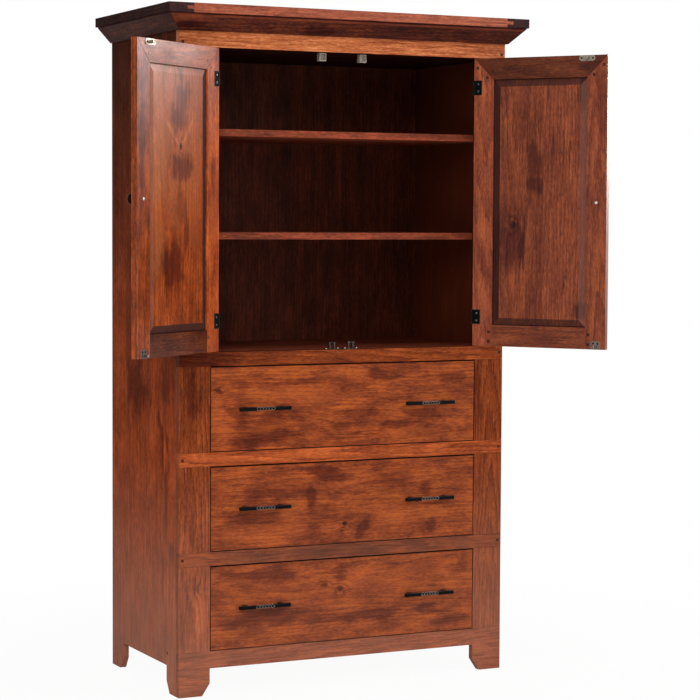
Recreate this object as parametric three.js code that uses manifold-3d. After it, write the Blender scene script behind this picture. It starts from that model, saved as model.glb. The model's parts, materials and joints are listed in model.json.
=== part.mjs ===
// A tall two-door cabinet over three wide drawers, in solid rustic wood, with both doors standing open.
// Lengths are millimetres. X runs along the front, the front faces -Y and Z is up from the floor.

import * as THREE from "three";
import { mergeVertices } from "three/addons/utils/BufferGeometryUtils.js";
import Module from "manifold-3d";

const wasm = await Module();
wasm.setup();

// Clearance between two pieces that rest on or against each other.
const seat = 0.3;
// Cutting tools run this far past the face that they open.
const overrun = 3;
const weldDistance = 0.001;

// Case
const caseWidth = 1067;
const caseDepth = 560;
const overallHeight = 1996;
const sideThickness = 20;
const backThickness = 12;
const deckThickness = 20;
const deckDrop = 0.5;
const ceilingThickness = 20;
const shelfThickness = 20;
const shelfSetback = 45;
const shelfEndPlay = 1;
const shelfHeightShares = [0.3949, 0.7369];
const cleatWidth = 25;
const cleatHeight = 22;
const shelfPinRadius = 3.5;
const shelfPinReach = 12;
const shelfPinInset = 85;

// Face frame
const frameThickness = 22;
const stileWidth = 97;
const headerHeight = 92;
const railHeight = 40.5;
const railEndTab = 25;
const lapThickness = 11;

// Apron and feet
const apronHeight = 130;
const archHeight = 80;
const footWidth = 73;
const footTaper = 24;
const footTaperHeight = 36;
const rearFootWidth = 68;

// Top board with breadboard ends
const topThickness = 27;
const topOverhangSide = 52;
const topOverhangFront = 57;
const topOverhangBack = 4;
const breadboardWidth = 76;
const tongueLength = 20;
const tongueThickness = 9;

// Bevelled crown moulding under the top board
const crownRun = 40;
const crownRise = 43;
const crownLip = 3.5;
const crownStandFront = 12;
const crownStandSide = 5;

// Drawers
const drawerOpeningHeight = 250;
const drawerGapTop = 3.5;
const drawerGapBottom = 2;
const drawerGapSide = 2;
const drawerFrontThickness = 20;
const drawerBoxInset = 4;
const drawerBoxLift = 8;
const drawerBoxDrop = 28;
const drawerBoxLength = 490;
const drawerWall = 15;
const drawerBottomThickness = 8;
const drawerBottomRaise = 8;
const runnerThickness = 20;
const runnerReach = 20;
const guideWidth = 16;
const guideHeight = 20;
const guideGap = 2;

// Drawer pulls
const pullLength = 164;
const pullThickness = 11;
const pullReach = 29.5;
const pullInset = 80.5;
const pullLegWidth = 12;
const pullLegInset = 18;
const pullCorner = 2.5;
const braidLength = 65;
const braidHighRadius = 6.4;
const braidLowRadius = 4.7;
const braidOverlap = 2;

// Doors
const leftDoorAngle = 143.1;
const rightDoorAngle = 125.7;
const doorThickness = 20;
const doorGapBottom = 4;
const doorGapTop = 3.5;
const meetingGap = 2;
const doorMemberWidth = 64;
const panelGrooveDepth = 10;
const panelTongueLength = 9;
const panelTongueThickness = 6;
const panelBevelWidth = 22;
const panelBevelRise = 4;
const tenonLength = 38;
const tenonHeight = 40;

// Hinges
const hingeGap = 3.3;
const hingeHeight = 44;
const hingeInset = 88;
const hingeLeafThickness = 1.2;
const hingeWrapWidth = 26;
const knuckleRadius = 4;
const knuckleRunningGap = 0.4;
const hingePinRadius = 1.6;
const pinForward = 5.3;
const pinCapRadius = 2.6;
const pinCapHeight = 1.5;

// Knobs
const knobRadius = 16.3;
const knobReach = 27;
const knobInset = 32.5;
const screwRadius = 2;
const screwHeadRadius = 5;
const screwHeadDepth = 1.6;

// Friction catches under the ceiling and their strikes on the doors
const topCatchWidth = 22;
const topCatchHeight = 24;
const topCatchDepth = 19;
const topCatchFront = 31;
const topCatchWall = 3;
const topCatchMouthDepth = 8;
const topCatchFromEdge = 65;
const topStrikeWidth = 51;
const topStrikeHeight = 17;
const topStrikeThickness = 1.6;
const topStrikeNoseWidth = 12;
const topStrikeNoseHeight = 9;
const topStrikeNoseReach = 11;
const topStrikeRidge = 3;
const topStrikeRidgeReach = 1.5;

// Double roller catches on the deck and their spears on the doors
const rollerFromEdge = 30;
const rollerBaseWidth = 52;
const rollerBaseDepth = 16;
const rollerPlateThickness = 1.6;
const rollerHousingWidth = 24;
const rollerHousingHeight = 20;
const rollerRadius = 4;
const rollerSpread = 7.5;
const rollerPinRadius = 1.7;
const rollerPinRise = 0.8;
const rollerFront = 26;
const spearPlateWidth = 31;
const spearPlateHeight = 25.5;
const spearPlateThickness = 1.4;
const spearPlateCorner = 7;
const spearNeck = 2.2;
const spearHeadWidth = 4.5;
const spearHeadLength = 4;
const spearReach = 17;
const spearHeight = 8;
const spearRise = 4;

// Facet counts
const roundSides = 16;
const knobSides = 20;
const cornerSteps = 4;
const braidAround = 8;
const braidAlong = 14;

// Heights and places that follow from the sizes above
const slabBottom = overallHeight - topThickness;
const headerBottom = slabBottom - headerHeight;
const drawerPitch = drawerOpeningHeight + railHeight;
const drawerRows = ["bottom", "middle", "top"];
const railBottoms = drawerRows.map((row, i) => apronHeight + i * drawerPitch + drawerOpeningHeight);
const doorOpeningBottom = railBottoms[drawerRows.length - 1] + railHeight;
const deckTop = doorOpeningBottom - deckDrop;
const doorBottom = doorOpeningBottom + doorGapBottom;
const doorTop = headerBottom - doorGapTop;
const doorMiddle = (doorBottom + doorTop) / 2;
const openingWidth = caseWidth - 2 * stileWidth;
const doorWidth = (openingWidth - 2 * hingeGap - meetingGap) / 2;
const halfGap = hingeGap / 2;
const caseMiddle = caseWidth / 2;
const backFront = caseDepth - backThickness;
const behindFrame = frameThickness + seat;
const doorOuter = pinForward;
const doorInner = pinForward + doorThickness;

const wood = (color, roughness) => new THREE.MeshStandardMaterial({ color, roughness, metalness: 0 });
const metal = (color, roughness) => new THREE.MeshStandardMaterial({ color, roughness, metalness: 1 });
const topWood = wood(0x8a4b38, 0.45);
const endWood = wood(0x4b3a34, 0.5);
const crownWood = wood(0x3a2220, 0.5);
const frameWood = wood(0xa85c34, 0.5);
const sideWood = wood(0x7c3a24, 0.5);
const doorWood = wood(0x8f4f33, 0.5);
const drawerWood = wood(0xa9562c, 0.5);
const insideWood = wood(0x35221a, 0.6);
const boxWood = wood(0x9a7350, 0.65);
const blackIron = metal(0x1c1b1a, 0.55);
const hingeIron = metal(0x2c2f30, 0.45);
const catchGrey = new THREE.MeshStandardMaterial({ color: 0x8c7d73, roughness: 0.6, metalness: 0 });
const strikeSteel = metal(0xd8ceb8, 0.4);

// A closed geometry as a solid that can be cut and joined.
function solidOf(geometry) {
  const bare = geometry.clone();
  bare.deleteAttribute("normal");
  bare.deleteAttribute("uv");
  const merged = mergeVertices(bare, weldDistance);
  return new wasm.Manifold(
    new wasm.Mesh({
      numProp: 3,
      vertProperties: merged.attributes.position.array,
      triVerts: Uint32Array.from(merged.index.array),
    }),
  );
}

// A cut and joined solid back as a flat-shaded geometry.
function geometryOf(solid) {
  const made = solid.getMesh();
  const points = new Float32Array(made.numVert * 3);
  for (let i = 0; i < made.numVert; i++) {
    points.set(made.vertProperties.subarray(i * made.numProp, i * made.numProp + 3), i * 3);
  }
  const indexed = new THREE.BufferGeometry();
  indexed.setAttribute("position", new THREE.BufferAttribute(points, 3));
  indexed.setIndex(new THREE.BufferAttribute(made.triVerts, 1));
  const faceted = indexed.toNonIndexed();
  faceted.computeVertexNormals();
  return faceted;
}

function addPiece(group, name, solid, material) {
  const mesh = new THREE.Mesh(geometryOf(solid), material);
  mesh.name = name;
  group.add(mesh);
}

// A board between two corners, given in either order.
function block(x0, x1, y0, y1, z0, z1) {
  const geometry = new THREE.BoxGeometry(Math.abs(x1 - x0), Math.abs(y1 - y0), Math.abs(z1 - z0));
  geometry.translate((x0 + x1) / 2, (y0 + y1) / 2, (z0 + z1) / 2);
  return solidOf(geometry);
}

// Each plane's own two directions, then the way its outline is pushed.
const planes = {
  xy: [new THREE.Vector3(1, 0, 0), new THREE.Vector3(0, 1, 0), new THREE.Vector3(0, 0, 1)],
  yz: [new THREE.Vector3(0, 1, 0), new THREE.Vector3(0, 0, 1), new THREE.Vector3(1, 0, 0)],
  zx: [new THREE.Vector3(0, 0, 1), new THREE.Vector3(1, 0, 0), new THREE.Vector3(0, 1, 0)],
};

function outline(points) {
  return new THREE.Shape(points.map(([u, v]) => new THREE.Vector2(u, v)));
}

// An outline in one plane, pushed from one level to another.
function pushed(shape, plane, from, to) {
  const geometry = new THREE.ExtrudeGeometry(shape, {
    depth: to - from,
    bevelEnabled: false,
    curveSegments: cornerSteps,
  });
  geometry.translate(0, 0, from);
  geometry.applyMatrix4(new THREE.Matrix4().makeBasis(...planes[plane]));
  return solidOf(geometry);
}

// An outline drawn as x and z, pushed through the thickness y0 to y1.
function boardOf(points, y0, y1) {
  return pushed(outline(points.map(([x, z]) => [z, x])), "zx", y0, y1);
}

// A round bar parallel to Z or to Y, between two levels.
function uprightBar(x, y, radius, z0, z1) {
  const geometry = new THREE.CylinderGeometry(radius, radius, z1 - z0, roundSides);
  geometry.rotateX(Math.PI / 2);
  geometry.translate(x, y, (z0 + z1) / 2);
  return solidOf(geometry);
}

function barAlongY(x, z, radius, y0, y1) {
  const geometry = new THREE.CylinderGeometry(radius, radius, y1 - y0, roundSides);
  geometry.translate(x, (y0 + y1) / 2, z);
  return solidOf(geometry);
}

function barAlongX(y, z, radius, x0, x1) {
  const geometry = new THREE.CylinderGeometry(radius, radius, Math.abs(x1 - x0), roundSides);
  geometry.rotateZ(Math.PI / 2);
  geometry.translate((x0 + x1) / 2, y, z);
  return solidOf(geometry);
}

const armoire = new THREE.Group();
const sides = { left: 1, right: -1 };

// The case's left edge at x = 0, and the same distance in from the right edge on the other side.
const fromSide = (side, distance) => (side === "left" ? distance : caseWidth - distance);

// Face frame

function addFaceFrame() {
  addPiece(
    armoire,
    "header_rail",
    block(0, caseWidth, 0, frameThickness, headerBottom, slabBottom - seat),
    frameWood,
  );
  const railNames = ["drawer_rail_lower", "drawer_rail_upper", "rail_under_doors"];
  railNames.forEach((name, i) => {
    addPiece(armoire, name, frameRail(railBottoms[i]), frameWood);
  });
  for (const side of Object.keys(sides)) {
    addPiece(armoire, "face_stile_" + side, frameStile(side), frameWood);
  }
  addPiece(armoire, "base_apron", boardOf(apronOutline(), 0, frameThickness), frameWood);
}

// A rail crosses the whole front. Behind it, between its end tab and the opening, it is halved for the stile.
function frameRail(bottom) {
  let rail = block(0, caseWidth, 0, frameThickness, bottom, bottom + railHeight);
  for (const side of Object.keys(sides)) {
    const notch = block(
      fromSide(side, railEndTab),
      fromSide(side, stileWidth + seat),
      lapThickness,
      frameThickness + overrun,
      bottom - overrun,
      bottom + railHeight + overrun,
    );
    rail = rail.subtract(notch);
  }
  return rail;
}

function frameStile(side) {
  const bottom = apronHeight + seat;
  const top = headerBottom - seat;
  let stile = block(fromSide(side, 0), fromSide(side, stileWidth), 0, frameThickness, bottom, top);
  for (const railBottom of railBottoms) {
    const low = railBottom - seat;
    const high = railBottom + railHeight + seat;
    const face = block(
      fromSide(side, -overrun),
      fromSide(side, stileWidth + overrun),
      -overrun,
      lapThickness + seat,
      low,
      high,
    );
    const tab = block(
      fromSide(side, -overrun),
      fromSide(side, railEndTab + seat),
      -overrun,
      frameThickness + overrun,
      low,
      high,
    );
    stile = stile.subtract(face).subtract(tab);
  }
  return stile;
}

function apronOutline() {
  const inner = footWidth + footTaper;
  return [
    [0, 0],
    [footWidth, 0],
    [inner, footTaperHeight],
    [inner, archHeight],
    [caseWidth - inner, archHeight],
    [caseWidth - inner, footTaperHeight],
    [caseWidth - footWidth, 0],
    [caseWidth, 0],
    [caseWidth, apronHeight],
    [0, apronHeight],
  ];
}

// Case panels

function sideOutline() {
  const front = footWidth + footTaper;
  const rear = caseDepth - rearFootWidth - footTaper;
  return [
    [behindFrame, 0],
    [footWidth, 0],
    [front, footTaperHeight],
    [front, archHeight],
    [rear, archHeight],
    [rear, footTaperHeight],
    [caseDepth - rearFootWidth, 0],
    [caseDepth, 0],
    [caseDepth, slabBottom - seat],
    [behindFrame, slabBottom - seat],
  ];
}

const drawerFrontBottom = (i) => apronHeight + i * drawerPitch + drawerGapBottom;
const drawerFrontTop = (i) => apronHeight + i * drawerPitch + drawerOpeningHeight - drawerGapTop;
const drawerBoxBottom = (i) => drawerFrontBottom(i) + drawerBoxLift;
const drawerBoxTop = (i) => drawerFrontTop(i) - drawerBoxDrop;
const drawerBoxSide = stileWidth + drawerGapSide + drawerBoxInset;
const shelfTops = shelfHeightShares.map((share) => deckTop + share * (headerBottom - deckTop));

// A ledge fixed to the case side on edge blocks, reaching in past the stile to carry one side of a drawer,
// with a strip on it that keeps the drawer straight.
function drawerRunner(side, i) {
  const top = drawerBoxBottom(i) - seat;
  const back = backFront - seat;
  const ledge = block(
    fromSide(side, sideThickness - overrun),
    fromSide(side, drawerBoxSide + runnerReach),
    behindFrame,
    back,
    top - runnerThickness,
    top,
  );
  const guide = block(
    fromSide(side, drawerBoxSide - guideGap - guideWidth),
    fromSide(side, drawerBoxSide - guideGap),
    behindFrame,
    back,
    top - seat,
    top + guideHeight,
  );
  return ledge.add(guide);
}

function cleat(side, bottom) {
  return block(
    fromSide(side, sideThickness - overrun),
    fromSide(side, sideThickness + cleatWidth),
    behindFrame,
    backFront - seat,
    bottom,
    bottom + cleatHeight,
  );
}

function sidePanel(side) {
  const from = side === "left" ? 0 : caseWidth - sideThickness;
  let panel = pushed(outline(sideOutline()), "yz", from, from + sideThickness);
  drawerRows.forEach((row, i) => {
    panel = panel.add(drawerRunner(side, i));
  });
  panel = panel.add(cleat(side, deckTop - deckThickness - seat - cleatHeight));
  panel = panel.add(cleat(side, headerBottom + ceilingThickness + seat));
  for (const top of shelfTops) {
    for (const y of [shelfSetback + shelfPinInset, backFront - shelfPinInset]) {
      const z = top - shelfThickness - seat - shelfPinRadius;
      const start = fromSide(side, sideThickness - overrun);
      const end = fromSide(side, sideThickness + shelfPinReach);
      panel = panel.add(barAlongX(y, z, shelfPinRadius, start, end));
    }
  }
  return panel;
}

function addCase() {
  for (const side of Object.keys(sides)) {
    addPiece(armoire, "side_panel_" + side, sidePanel(side), sideWood);
  }
  const inLeft = sideThickness + seat;
  const inRight = caseWidth - inLeft;
  const inBack = backFront - seat;
  addPiece(
    armoire,
    "back_panel",
    block(inLeft, inRight, backFront, caseDepth, archHeight, slabBottom - seat),
    insideWood,
  );
  addPiece(
    armoire,
    "deck_panel",
    block(inLeft, inRight, behindFrame, inBack, deckTop - deckThickness, deckTop),
    insideWood,
  );
  addPiece(
    armoire,
    "ceiling_panel",
    block(inLeft, inRight, behindFrame, inBack, headerBottom, headerBottom + ceilingThickness),
    insideWood,
  );
  ["shelf_lower", "shelf_upper"].forEach((name, i) => {
    const end = sideThickness + shelfEndPlay;
    const shelf = block(
      end,
      caseWidth - end,
      shelfSetback,
      inBack,
      shelfTops[i] - shelfThickness,
      shelfTops[i],
    );
    addPiece(armoire, name, shelf, insideWood);
  });
}

// Top board and crown

function addTop() {
  const front = -topOverhangFront;
  const back = caseDepth + topOverhangBack;
  const end = -topOverhangSide;
  const joint = end + breadboardWidth;
  const middle = (slabBottom + overallHeight) / 2;
  const halfTongue = tongueThickness / 2;
  const board = block(joint + seat, caseWidth - joint - seat, front, back, slabBottom, overallHeight);
  const tongue = block(
    joint - tongueLength,
    caseWidth - joint + tongueLength,
    front,
    back,
    middle - halfTongue,
    middle + halfTongue,
  );
  addPiece(armoire, "top_board", board.add(tongue), topWood);
  for (const side of Object.keys(sides)) {
    const cap = block(
      fromSide(side, end),
      fromSide(side, joint),
      front,
      back,
      slabBottom,
      overallHeight,
    );
    const groove = block(
      fromSide(side, joint - tongueLength - seat),
      fromSide(side, joint + overrun),
      front - overrun,
      back + overrun,
      middle - halfTongue - seat,
      middle + halfTongue + seat,
    );
    addPiece(armoire, "breadboard_end_" + side, cap.subtract(groove), endWood);
  }
}

// The crown's section: how far each corner stands out from the case, and its height.
function crownSection(stand) {
  const top = slabBottom - seat;
  const bevelTop = slabBottom - crownLip;
  return [
    [seat, bevelTop - crownRise],
    [stand, bevelTop - crownRise],
    [stand + crownRun, bevelTop],
    [stand + crownRun, top],
    [seat, top],
  ];
}

// A length of moulding whose ends slope with the distance out, so that two of them meet in a mitre.
function mitredLength(section, startAt, endAt, toPoint) {
  const geometry = new THREE.ExtrudeGeometry(outline(section), { depth: 1, bevelEnabled: false });
  const place = geometry.attributes.position;
  for (let i = 0; i < place.count; i++) {
    const out = place.getX(i);
    const height = place.getY(i);
    const along = place.getZ(i) < 0.5 ? startAt(out) : endAt(out);
    place.setXYZ(i, ...toPoint(along, out, height));
  }
  return solidOf(geometry);
}

function addCrown() {
  const corner = (out) => crownStandSide + (out - crownStandFront);
  const front = mitredLength(
    crownSection(crownStandFront),
    (out) => caseWidth + corner(out) - seat,
    (out) => -corner(out) + seat,
    (along, out, height) => [along, -out, height],
  );
  addPiece(armoire, "crown_moulding_front", front, crownWood);
  const sideStart = (out) => -(crownStandFront + (out - crownStandSide));
  const left = mitredLength(
    crownSection(crownStandSide),
    sideStart,
    () => caseDepth,
    (along, out, height) => [-out, along, height],
  );
  const right = mitredLength(
    crownSection(crownStandSide),
    () => caseDepth,
    sideStart,
    (along, out, height) => [caseWidth + out, along, height],
  );
  addPiece(armoire, "crown_moulding_left", left.add(crownToe("left")), crownWood);
  addPiece(armoire, "crown_moulding_right", right.add(crownToe("right")), crownWood);
}

// The front moulding stands out further than the sides do, so the mitre reaches the front plane inside
// the case's edge. This toe of the side moulding closes that corner.
function crownToe(side) {
  const toe = crownStandFront - crownStandSide;
  const points = [
    [fromSide(side, -seat - seat), -seat],
    [fromSide(side, toe - seat - seat), -seat],
    [fromSide(side, -seat - seat), -toe],
  ];
  return pushed(outline(points), "xy", slabBottom - crownLip - crownRise, slabBottom - seat);
}

// Drawers

function drawerBox(i) {
  const left = drawerBoxSide;
  const right = caseWidth - left;
  const front = drawerFrontThickness + seat;
  const back = front + drawerBoxLength;
  const bottom = drawerBoxBottom(i);
  const top = drawerBoxTop(i);
  const floorUnder = bottom + drawerBottomRaise;
  const floorTop = floorUnder + drawerBottomThickness;
  const inside = [left + drawerWall, right - drawerWall, front + drawerWall, back - drawerWall];
  return block(left, right, front, back, bottom, top)
    .subtract(block(...inside, floorTop, top + overrun))
    .subtract(block(...inside, bottom - overrun, floorUnder));
}

function addDrawers() {
  drawerRows.forEach((row, i) => {
    const drawer = new THREE.Group();
    armoire.add(drawer);
    const end = stileWidth + drawerGapSide;
    const low = drawerFrontBottom(i);
    const high = drawerFrontTop(i);
    const front = block(end, caseWidth - end, 0, drawerFrontThickness, low, high);
    addPiece(drawer, "drawer_front_" + row, front, drawerWood);
    addPiece(drawer, "drawer_box_" + row, drawerBox(i), boxWood);
    for (const side of Object.keys(sides)) {
      const x = fromSide(side, end + pullInset + pullLength / 2);
      addPiece(drawer, "drawer_pull_" + row + "_" + side, drawerPull(x, (low + high) / 2), blackIron);
    }
  });
}

// Half of a pull's plain iron: a square bar that starts inside the braid and runs on past its leg.
function pullEnd(x, z, hand) {
  const end = pullLength / 2;
  const outer = end - pullLegInset;
  const inner = outer - pullLegWidth;
  const barFront = -pullReach;
  const barBack = barFront + pullThickness;
  const start = braidLength / 2 - braidOverlap;
  const at = (u) => x + hand * u;
  const shape = new THREE.Shape();
  shape.moveTo(at(start), barBack);
  shape.lineTo(at(start), barFront);
  shape.lineTo(at(end - pullCorner), barFront);
  shape.quadraticCurveTo(at(end), barFront, at(end), barFront + pullCorner);
  shape.lineTo(at(end), barBack);
  shape.lineTo(at(outer), barBack);
  shape.lineTo(at(outer), -seat);
  shape.lineTo(at(inner), -seat);
  shape.lineTo(at(inner), barBack);
  shape.closePath();
  return pushed(shape, "xy", z - pullThickness / 2, z + pullThickness / 2);
}

// The braided middle of a pull. Its points are high and low by turns, and each face is split along the
// line between its two high points, so the ridges cross as strands do.
function pullBraid(x, z) {
  const y = -pullReach + pullThickness / 2;
  const points = [];
  for (let j = 0; j <= braidAlong; j++) {
    const along = x + braidLength * (j / braidAlong - 1 / 2);
    for (let i = 0; i < braidAround; i++) {
      const atEnd = j === 0 || j === braidAlong;
      const radius = atEnd || (i + j) % 2 ? braidLowRadius : braidHighRadius;
      const turn = (2 * Math.PI * i) / braidAround;
      points.push(along, y + radius * Math.cos(turn), z + radius * Math.sin(turn));
    }
  }
  const first = points.length / 3;
  points.push(x - braidLength / 2, y, z, x + braidLength / 2, y, z);
  const faces = [];
  for (let i = 0; i < braidAround; i++) {
    const next = (i + 1) % braidAround;
    for (let j = 0; j < braidAlong; j++) {
      const a = j * braidAround + i;
      const b = j * braidAround + next;
      const c = a + braidAround;
      const d = b + braidAround;
      if ((i + j) % 2) faces.push(a, b, c, b, d, c);
      else faces.push(a, b, d, a, d, c);
    }
    const last = braidAlong * braidAround;
    faces.push(first, next, i, first + 1, last + i, last + next);
  }
  const geometry = new THREE.BufferGeometry();
  geometry.setAttribute("position", new THREE.Float32BufferAttribute(points, 3));
  geometry.setIndex(faces);
  return solidOf(geometry);
}

function drawerPull(x, z) {
  return pullBraid(x, z).add(pullEnd(x, z, -1)).add(pullEnd(x, z, 1));
}

// Doors. Each is drawn shut, about its own hinge pin, with x running towards the free edge.

function placeAtPin(side) {
  const group = new THREE.Group();
  group.position.set(fromSide(side, stileWidth + halfGap), -pinForward, 0);
  armoire.add(group);
  return group;
}

const groove = (hand) =>
  block(
    hand * (halfGap + doorMemberWidth - panelGrooveDepth),
    hand * (halfGap + doorWidth - doorMemberWidth + panelGrooveDepth),
    (doorOuter + doorInner - panelTongueThickness) / 2 - seat,
    (doorOuter + doorInner + panelTongueThickness) / 2 + seat,
    doorBottom + doorMemberWidth - panelGrooveDepth,
    doorTop - doorMemberWidth + panelGrooveDepth,
  );

// The bottom rail's stub tenon at one end, or its mortise when it is let out by a clearance.
function tenon(hand, atFreeEdge, clearance) {
  const root = atFreeEdge ? halfGap + doorWidth - doorMemberWidth : halfGap + doorMemberWidth;
  const away = atFreeEdge ? 1 : -1;
  const middle = doorBottom + (doorMemberWidth - panelGrooveDepth) / 2;
  return block(
    hand * (root - away * overrun),
    hand * (root + away * (tenonLength + clearance)),
    (doorOuter + doorInner - panelTongueThickness) / 2 - clearance,
    (doorOuter + doorInner + panelTongueThickness) / 2 + clearance,
    middle - tenonHeight / 2 - clearance,
    middle + tenonHeight / 2 + clearance,
  );
}

// A stile runs to the door's bottom edge, and its top is mitred.
function doorStile(hand, atFreeEdge) {
  const at = (s) => hand * (halfGap + (atFreeEdge ? doorWidth - s : s));
  const points = [
    [at(0), doorBottom],
    [at(doorMemberWidth), doorBottom],
    [at(doorMemberWidth), doorTop - doorMemberWidth - seat],
    [at(0), doorTop - seat],
  ];
  let stile = boardOf(points, doorOuter, doorInner)
    .subtract(groove(hand))
    .subtract(tenon(hand, atFreeEdge, seat));
  if (atFreeEdge) {
    const hole = screwRadius + seat;
    stile = stile.subtract(barAlongY(at(knobInset), doorMiddle, hole, doorOuter - overrun, doorInner + overrun));
  }
  return stile;
}

function doorTopRail(hand) {
  const at = (s) => hand * (halfGap + s);
  const points = [
    [at(seat), doorTop],
    [at(doorMemberWidth + seat), doorTop - doorMemberWidth],
    [at(doorWidth - doorMemberWidth - seat), doorTop - doorMemberWidth],
    [at(doorWidth - seat), doorTop],
  ];
  return boardOf(points, doorOuter, doorInner).subtract(groove(hand));
}

function doorBottomRail(hand) {
  const rail = block(
    hand * (halfGap + doorMemberWidth + seat),
    hand * (halfGap + doorWidth - doorMemberWidth - seat),
    doorOuter,
    doorInner,
    doorBottom,
    doorBottom + doorMemberWidth,
  );
  return rail.subtract(groove(hand)).add(tenon(hand, false, 0)).add(tenon(hand, true, 0));
}

// The panel is raised on both faces: a flat field, a bevel round it, and a tongue in the frame's groove.
function doorPanel(hand) {
  const width = doorWidth - 2 * doorMemberWidth;
  const height = doorTop - doorBottom - 2 * doorMemberWidth;
  const middle = hand * (halfGap + doorWidth / 2);
  const halfField = width / 2 - panelBevelWidth - seat;
  const halfRise = height / 2 - panelBevelWidth - seat;
  const field = outline([
    [doorMiddle - halfRise, middle - halfField],
    [doorMiddle + halfRise, middle - halfField],
    [doorMiddle + halfRise, middle + halfField],
    [doorMiddle - halfRise, middle + halfField],
  ]);
  const geometry = new THREE.ExtrudeGeometry(field, {
    depth: panelTongueThickness,
    bevelThickness: panelBevelRise,
    bevelSize: panelBevelWidth,
    bevelSegments: 1,
  });
  geometry.translate(0, 0, (doorOuter + doorInner - panelTongueThickness) / 2);
  geometry.applyMatrix4(new THREE.Matrix4().makeBasis(...planes.zx));
  const tongue = block(
    middle - width / 2 - panelTongueLength,
    middle + width / 2 + panelTongueLength,
    (doorOuter + doorInner - panelTongueThickness) / 2,
    (doorOuter + doorInner + panelTongueThickness) / 2,
    doorMiddle - height / 2 - panelTongueLength,
    doorMiddle + height / 2 + panelTongueLength,
  );
  return solidOf(geometry).add(tongue);
}

// Hinges. The frame leaf has the outer knuckles and the pin, and the door leaf the middle knuckle.

const knuckleLength = hingeHeight / 3;
const hingeHeights = { lower: doorBottom + hingeInset, upper: doorTop - hingeInset };
const plateNear = halfGap - seat - hingeLeafThickness;
const plateFar = halfGap - seat;
const plateStart = knuckleRadius + knuckleRunningGap;

function frameLeaf(hand, middle) {
  const low = middle - hingeHeight / 2;
  const high = middle + hingeHeight / 2;
  let leaf = block(-hand * plateFar, -hand * plateNear, plateStart, pinForward + frameThickness - seat, low, high);
  for (const [from, to] of [[low, low + knuckleLength], [high - knuckleLength, high]]) {
    leaf = leaf
      .add(uprightBar(0, 0, knuckleRadius, from, to))
      .add(block(-hand * plateFar, -hand * plateNear, 0, plateStart + seat, from, to));
  }
  return leaf
    .add(uprightBar(0, 0, hingePinRadius, low - seat, high + seat))
    .add(uprightBar(0, 0, pinCapRadius, low - pinCapHeight, low))
    .add(uprightBar(0, 0, pinCapRadius, high, high + pinCapHeight));
}

function doorLeaf(hand, middle) {
  const low = middle - hingeHeight / 2;
  const high = middle + hingeHeight / 2;
  const from = low + knuckleLength + seat;
  const to = high - knuckleLength - seat;
  const wrapBack = doorInner + seat;
  const wrapFront = wrapBack + hingeLeafThickness;
  const bore = uprightBar(0, 0, hingePinRadius + seat, from - overrun, to + overrun);
  const knuckle = uprightBar(0, 0, knuckleRadius, from, to)
    .add(block(hand * plateNear, hand * plateFar, 0, plateStart + seat, from, to))
    .subtract(bore);
  return knuckle
    .add(block(hand * plateNear, hand * plateFar, plateStart, wrapFront, low, high))
    .add(block(hand * plateNear, hand * (halfGap + hingeWrapWidth), wrapBack, wrapFront, low, high));
}

// A knob turned in one piece with the look of a mushroom, and the screw that holds it through the stile.
// Each row is a share of the knob's radius and of its reach from the door.
const knobProfileShares = [
  [0.62, 0],
  [0.62, 0.08],
  [0.4, 0.2],
  [0.38, 0.4],
  [0.72, 0.5],
  [0.96, 0.62],
  [1, 0.74],
  [0.9, 0.88],
  [0.6, 0.97],
  [0, 1],
];

function doorKnob(hand) {
  const headStart = doorInner + seat;
  const face = doorOuter - seat;
  const profile = [
    [0, headStart + screwHeadDepth],
    [screwHeadRadius / 2, headStart + screwHeadDepth],
    [screwHeadRadius, headStart],
    [screwRadius, headStart],
    [screwRadius, face],
    ...knobProfileShares.map(([out, along]) => [out * knobRadius, face - along * knobReach]),
  ];
  const points = profile.reverse().map(([r, y]) => new THREE.Vector2(r, y));
  const geometry = new THREE.LatheGeometry(points, knobSides);
  geometry.translate(hand * (halfGap + doorWidth - knobInset), 0, doorMiddle);
  return solidOf(geometry);
}

// Strikes on the doors' inside faces

function topStrike(hand) {
  const middle = hand * (halfGap + doorWidth - topCatchFromEdge);
  const back = doorInner + seat;
  const front = back + topStrikeThickness;
  const z = headerBottom - seat - topCatchHeight / 2;
  const half = topStrikeWidth / 2 - topStrikeHeight / 2;
  const plate = new THREE.Shape();
  plate.absarc(z, middle + half, topStrikeHeight / 2, 0, Math.PI, false);
  plate.absarc(z, middle - half, topStrikeHeight / 2, Math.PI, 2 * Math.PI, false);
  plate.closePath();
  const nose = (width, reach, x) =>
    block(
      x - width / 2,
      x + width / 2,
      front - seat,
      front + reach,
      z - topStrikeNoseHeight / 2,
      z + topStrikeNoseHeight / 2,
    );
  const ridgeOut = (topStrikeNoseWidth - topStrikeRidge) / 2;
  const ridgeReach = topStrikeNoseReach + topStrikeRidgeReach;
  return pushed(plate, "zx", back, front)
    .add(nose(topStrikeNoseWidth, topStrikeNoseReach, middle))
    .add(nose(topStrikeRidge, ridgeReach, middle - ridgeOut))
    .add(nose(topStrikeRidge, ridgeReach, middle + ridgeOut));
}

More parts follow.
